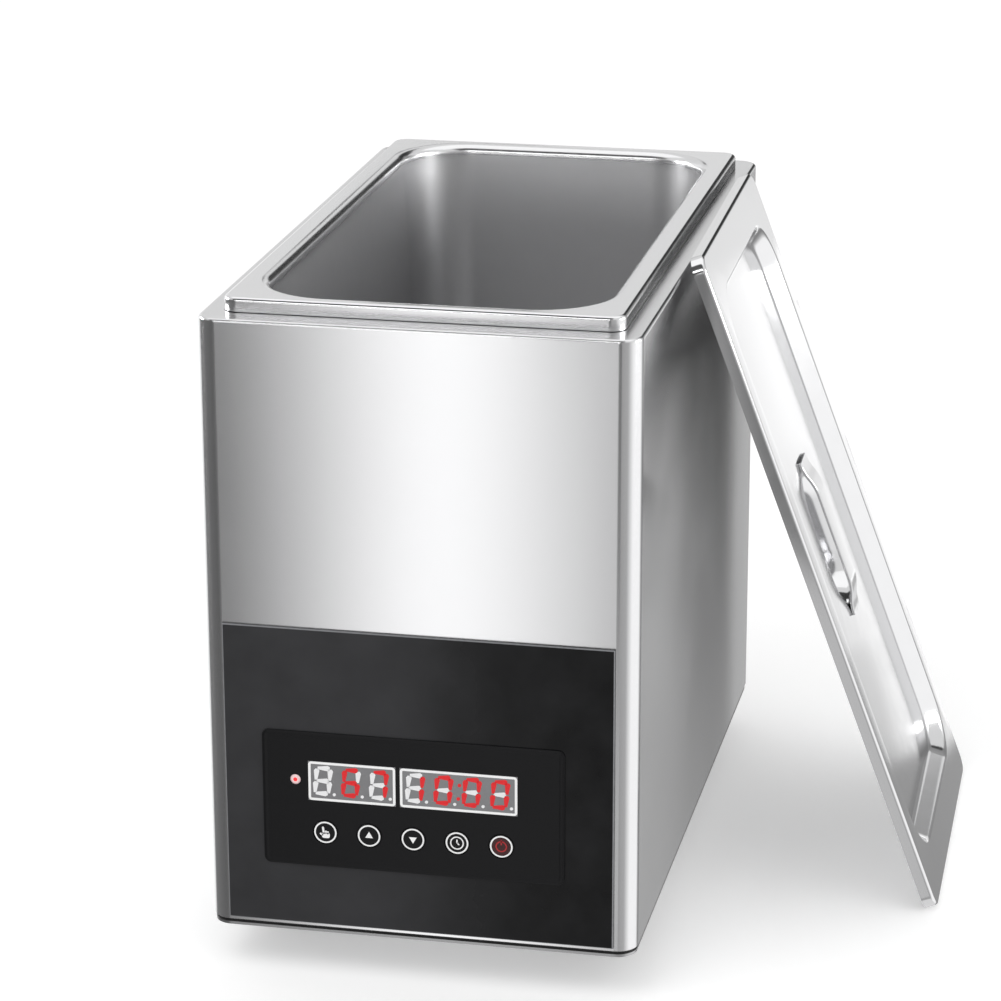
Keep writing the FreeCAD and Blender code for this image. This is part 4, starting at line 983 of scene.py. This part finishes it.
def studio_world(strength):
    """White for the camera, for metal and through glass; a plain level for matt surfaces."""
    world = bpy.data.worlds.new("studio")
    bpy.context.scene.world = world
    add = empty_tree(world)
    rays = add("LightPath").outputs
    seen = add("Math", operation="MAXIMUM", links={0: rays["Is Camera Ray"], 1: rays["Is Glossy Ray"]})
    white = add("Math", operation="MAXIMUM", links={0: seen, 1: rays["Is Transmission Ray"]})
    level = add("MapRange", links={"Value": white}, sockets={"To Min": strength, "To Max": 1})
    glow = add("Background", links={"Strength": level}, sockets={"Color": WHITE})
    add("OutputWorld", links={"Surface": glow})


class BuildStage(bpy.types.Operator):
    """White floor, soft light and the camera"""

    bl_idname = "eggboiler.stage"
    bl_label = "Stage"

    def execute(self, context):
        stage = context.scene.boiler_stage
        context.scene.view_settings.view_transform = "Standard"
        self.floor()
        self.tent(stage)
        for name, card in CARDS.items():
            self.card(name, *card)
        for low, high, left, bright, dim in LID_BANDS:
            centre = ((left + REFLECTOR_RIGHT) / 2, REFLECTOR_Y, (low + high) / 2)
            size = (REFLECTOR_RIGHT - left, high - low)
            self.card("lid_reflector", centre, size, 90, 0, bright, dim, *REFLECTOR_FADE)
        # a narrow dark flag beside the right wall, darker towards its top
        foot, head = -0.23, 0.235
        centre, size = (0.126, 0.19, (foot + head) / 2), (0.03, head - foot)
        self.card("side_flag", centre, size, 90, 0, 0.5, 0, (foot, head))
        studio_world(stage.room)
        self.light("key", (-0.9, -1.1, 1.9), 1.4, stage.key_light)
        self.light("fill", (1.5, -0.8, 1.3), 1.2, stage.key_light * 0.45)
        self.camera(context, stage)
        return {"FINISHED"}

    def piece(self, name, bm):
        """A part of the stage with an empty material; returns it and the function that adds nodes."""
        thing = new_object(name, bm)
        paint, add = new_material(name + "_paint")
        thing.data.materials.append(paint)
        return thing, add

    def floor(self):
        """Floor that is white to the camera and keeps the soft shadow; metal sees the screens instead."""
        bm = bmesh.new()
        bmesh.ops.create_circle(bm, cap_ends=True, radius=3, segments=64)
        ground, add = self.piece("floor", bm)
        matt = add("BsdfDiffuse", sockets={"Color": (0.85, 0.85, 0.85, 1)})
        glow = add("Emission", sockets={"Color": WHITE, "Strength": 0.3})
        rays = add("LightPath")
        lift = add("AddShader", links={0: matt, 1: glow})
        seen = add("MixShader", links={0: rays.outputs["Is Camera Ray"], 1: matt, 2: lift})
        add("OutputMaterial", links={"Surface": seen})
        ground.visible_glossy = False

    def tent(self, stage):
        """A round tent of pale and dark screens that only polished metal sees."""
        bm = bmesh.new()
        ring = bmesh.ops.create_circle(bm, radius=stage.tent, segments=96)["verts"]
        bmesh.ops.translate(bm, vec=(0, 0, -stage.tent), verts=ring)
        upper = grown_verts(bmesh.ops.extrude_edge_only(bm, edges=bm.edges[:]))
        bmesh.ops.translate(bm, vec=(0, 0, stage.tent + stage.tent_top), verts=upper)
        tent, add = self.piece("screens", bm)
        spot = add("TexCoord").outputs["Object"]
        parts = add("SeparateXYZ", links={"Vector": spot}).outputs
        front = add("Math", operation="MULTIPLY", links={0: parts["Y"]}, sockets={1: -1})
        bearing = add("Math", operation="ARCTAN2", links={0: parts["X"], 1: front})
        turn = add("MapRange", links={"Value": bearing}, sockets={"From Min": -math.pi, "From Max": math.pi})
        # a ramp holds levels up to 1, so they are halved here and doubled in the glow
        shades = add(
            "ValToRGB", links={"Fac": turn},
            stops=[((degrees + 180) / 360, level / 2) for degrees, level in SCREENS],
        )
        glow = add("Emission", links={"Color": shades}, sockets={"Strength": 2})
        add("OutputMaterial", links={"Surface": glow})
        self.only_mirrored(tent)

    def only_mirrored(self, screen):
        """Leaves a screen to reflections, so that it neither shows nor lights nor shades."""
        screen.visible_camera = screen.visible_diffuse = screen.visible_shadow = False
        screen.visible_transmission = screen.visible_volume_scatter = False

    def card(self, name, centre, size, tilt, yaw, level, level_end=None, span=(0, 1), along=(0, 0, 1)):
        """A flat screen; its brightness may change to another within a span along one direction."""
        bm = bmesh.new()
        bmesh.ops.create_grid(bm, x_segments=1, y_segments=1, size=0.5)
        bmesh.ops.scale(bm, vec=(*size, 1), verts=bm.verts[:])
        turn = Matrix.Rotation(math.radians(yaw), 4, "Z") @ Matrix.Rotation(math.radians(tilt), 4, "X")
        bmesh.ops.transform(bm, matrix=Matrix.Translation(centre) @ turn, verts=bm.verts[:])
        card, add = self.piece(name, bm)
        spot = add("TexCoord").outputs["Object"]
        reach = add("VectorMath", operation="DOT_PRODUCT", links={0: spot}, sockets={1: along})
        ends = {"From Min": span[0], "From Max": span[1], "To Min": level}
        ends["To Max"] = level if level_end is None else level_end
        strength = add("MapRange", links={"Value": reach.outputs["Value"]}, sockets=ends)
        glow = add("Emission", links={"Strength": strength}, sockets={"Color": WHITE})
        add("OutputMaterial", links={"Surface": glow})
        self.only_mirrored(card)

    def light(self, name, place, size, watts):
        """One square soft light aimed at the middle of the object."""
        data = bpy.data.lights.new(name, "AREA")
        data.size = size
        data.energy = watts
        lamp = bpy.data.objects.new(name, data)
        bpy.context.scene.collection.objects.link(lamp)
        lamp.location = place
        lamp.rotation_euler = (Vector((0, 0, 0.15)) - Vector(place)).to_track_quat("-Z", "Y").to_euler()
        lamp.visible_glossy = lamp.visible_camera = False

    def camera(self, context, stage):
        """Camera at the viewing angle, with the aim and the small shift that the framing needs."""
        turn = (
            Matrix.Rotation(stage.azimuth, 4, "Z")
            @ Matrix.Rotation(math.radians(90) - stage.elevation, 4, "X")
            @ Matrix.Rotation(stage.roll, 4, "Z")
        )
        aim, shift_right, shift_up = (0, 0, 156.8 * MM), 0.2 * MM, 13.2 * MM
        back_off = Matrix.Translation((shift_right, shift_up, stage.distance))
        data = bpy.data.cameras.new("camera")
        data.lens = stage.focal
        data.sensor_width = 36
        data.clip_end = 20
        camera = bpy.data.objects.new("camera", data)
        context.scene.collection.objects.link(camera)
        camera.matrix_world = Matrix.Translation(aim) @ turn @ back_off
        context.scene.camera = camera


# ---------------------------------------------------------------- add-on

SETTINGS = {
    "boiler_shell": ShellSettings, "boiler_pan": PanSettings, "boiler_lid": LidSettings,
    "boiler_front": FrontSettings, "boiler_finish": FinishSettings, "boiler_stage": StageSettings,
}
BUILDERS = (
    BuildFinishes, BuildShell, BuildPan, BuildLid, BuildFront, BuildDisplays, BuildKeys, BuildSmallParts,
    BuildStage,
)


class BoilerPanel(bpy.types.Panel):
    """Lists the settings and the builders"""

    bl_idname = "VIEW3D_PT_eggboiler"
    bl_label = "Egg boiler"
    bl_space_type = "VIEW_3D"
    bl_region_type = "UI"
    bl_category = "Egg boiler"

    def draw(self, context):
        for name, group in SETTINGS.items():
            box = self.layout.box()
            settings = getattr(context.scene, name)
            for setting in group.__annotations__:
                box.prop(settings, setting)
        for builder in BUILDERS:
            self.layout.operator(builder.bl_idname)


def register():
    for thing in (*SETTINGS.values(), *BUILDERS, BoilerPanel):
        bpy.utils.register_class(thing)
    for name, group in SETTINGS.items():
        setattr(bpy.types.Scene, name, bpy.props.PointerProperty(type=group))


def unregister():
    for name in SETTINGS:
        delattr(bpy.types.Scene, name)
    for thing in reversed((*SETTINGS.values(), *BUILDERS, BoilerPanel)):
        bpy.utils.unregister_class(thing)


def main():
    register()
    for builder in BUILDERS:
        getattr(bpy.ops.eggboiler, builder.bl_idname.removeprefix("eggboiler."))()


if __name__ == "__main__":
    main()
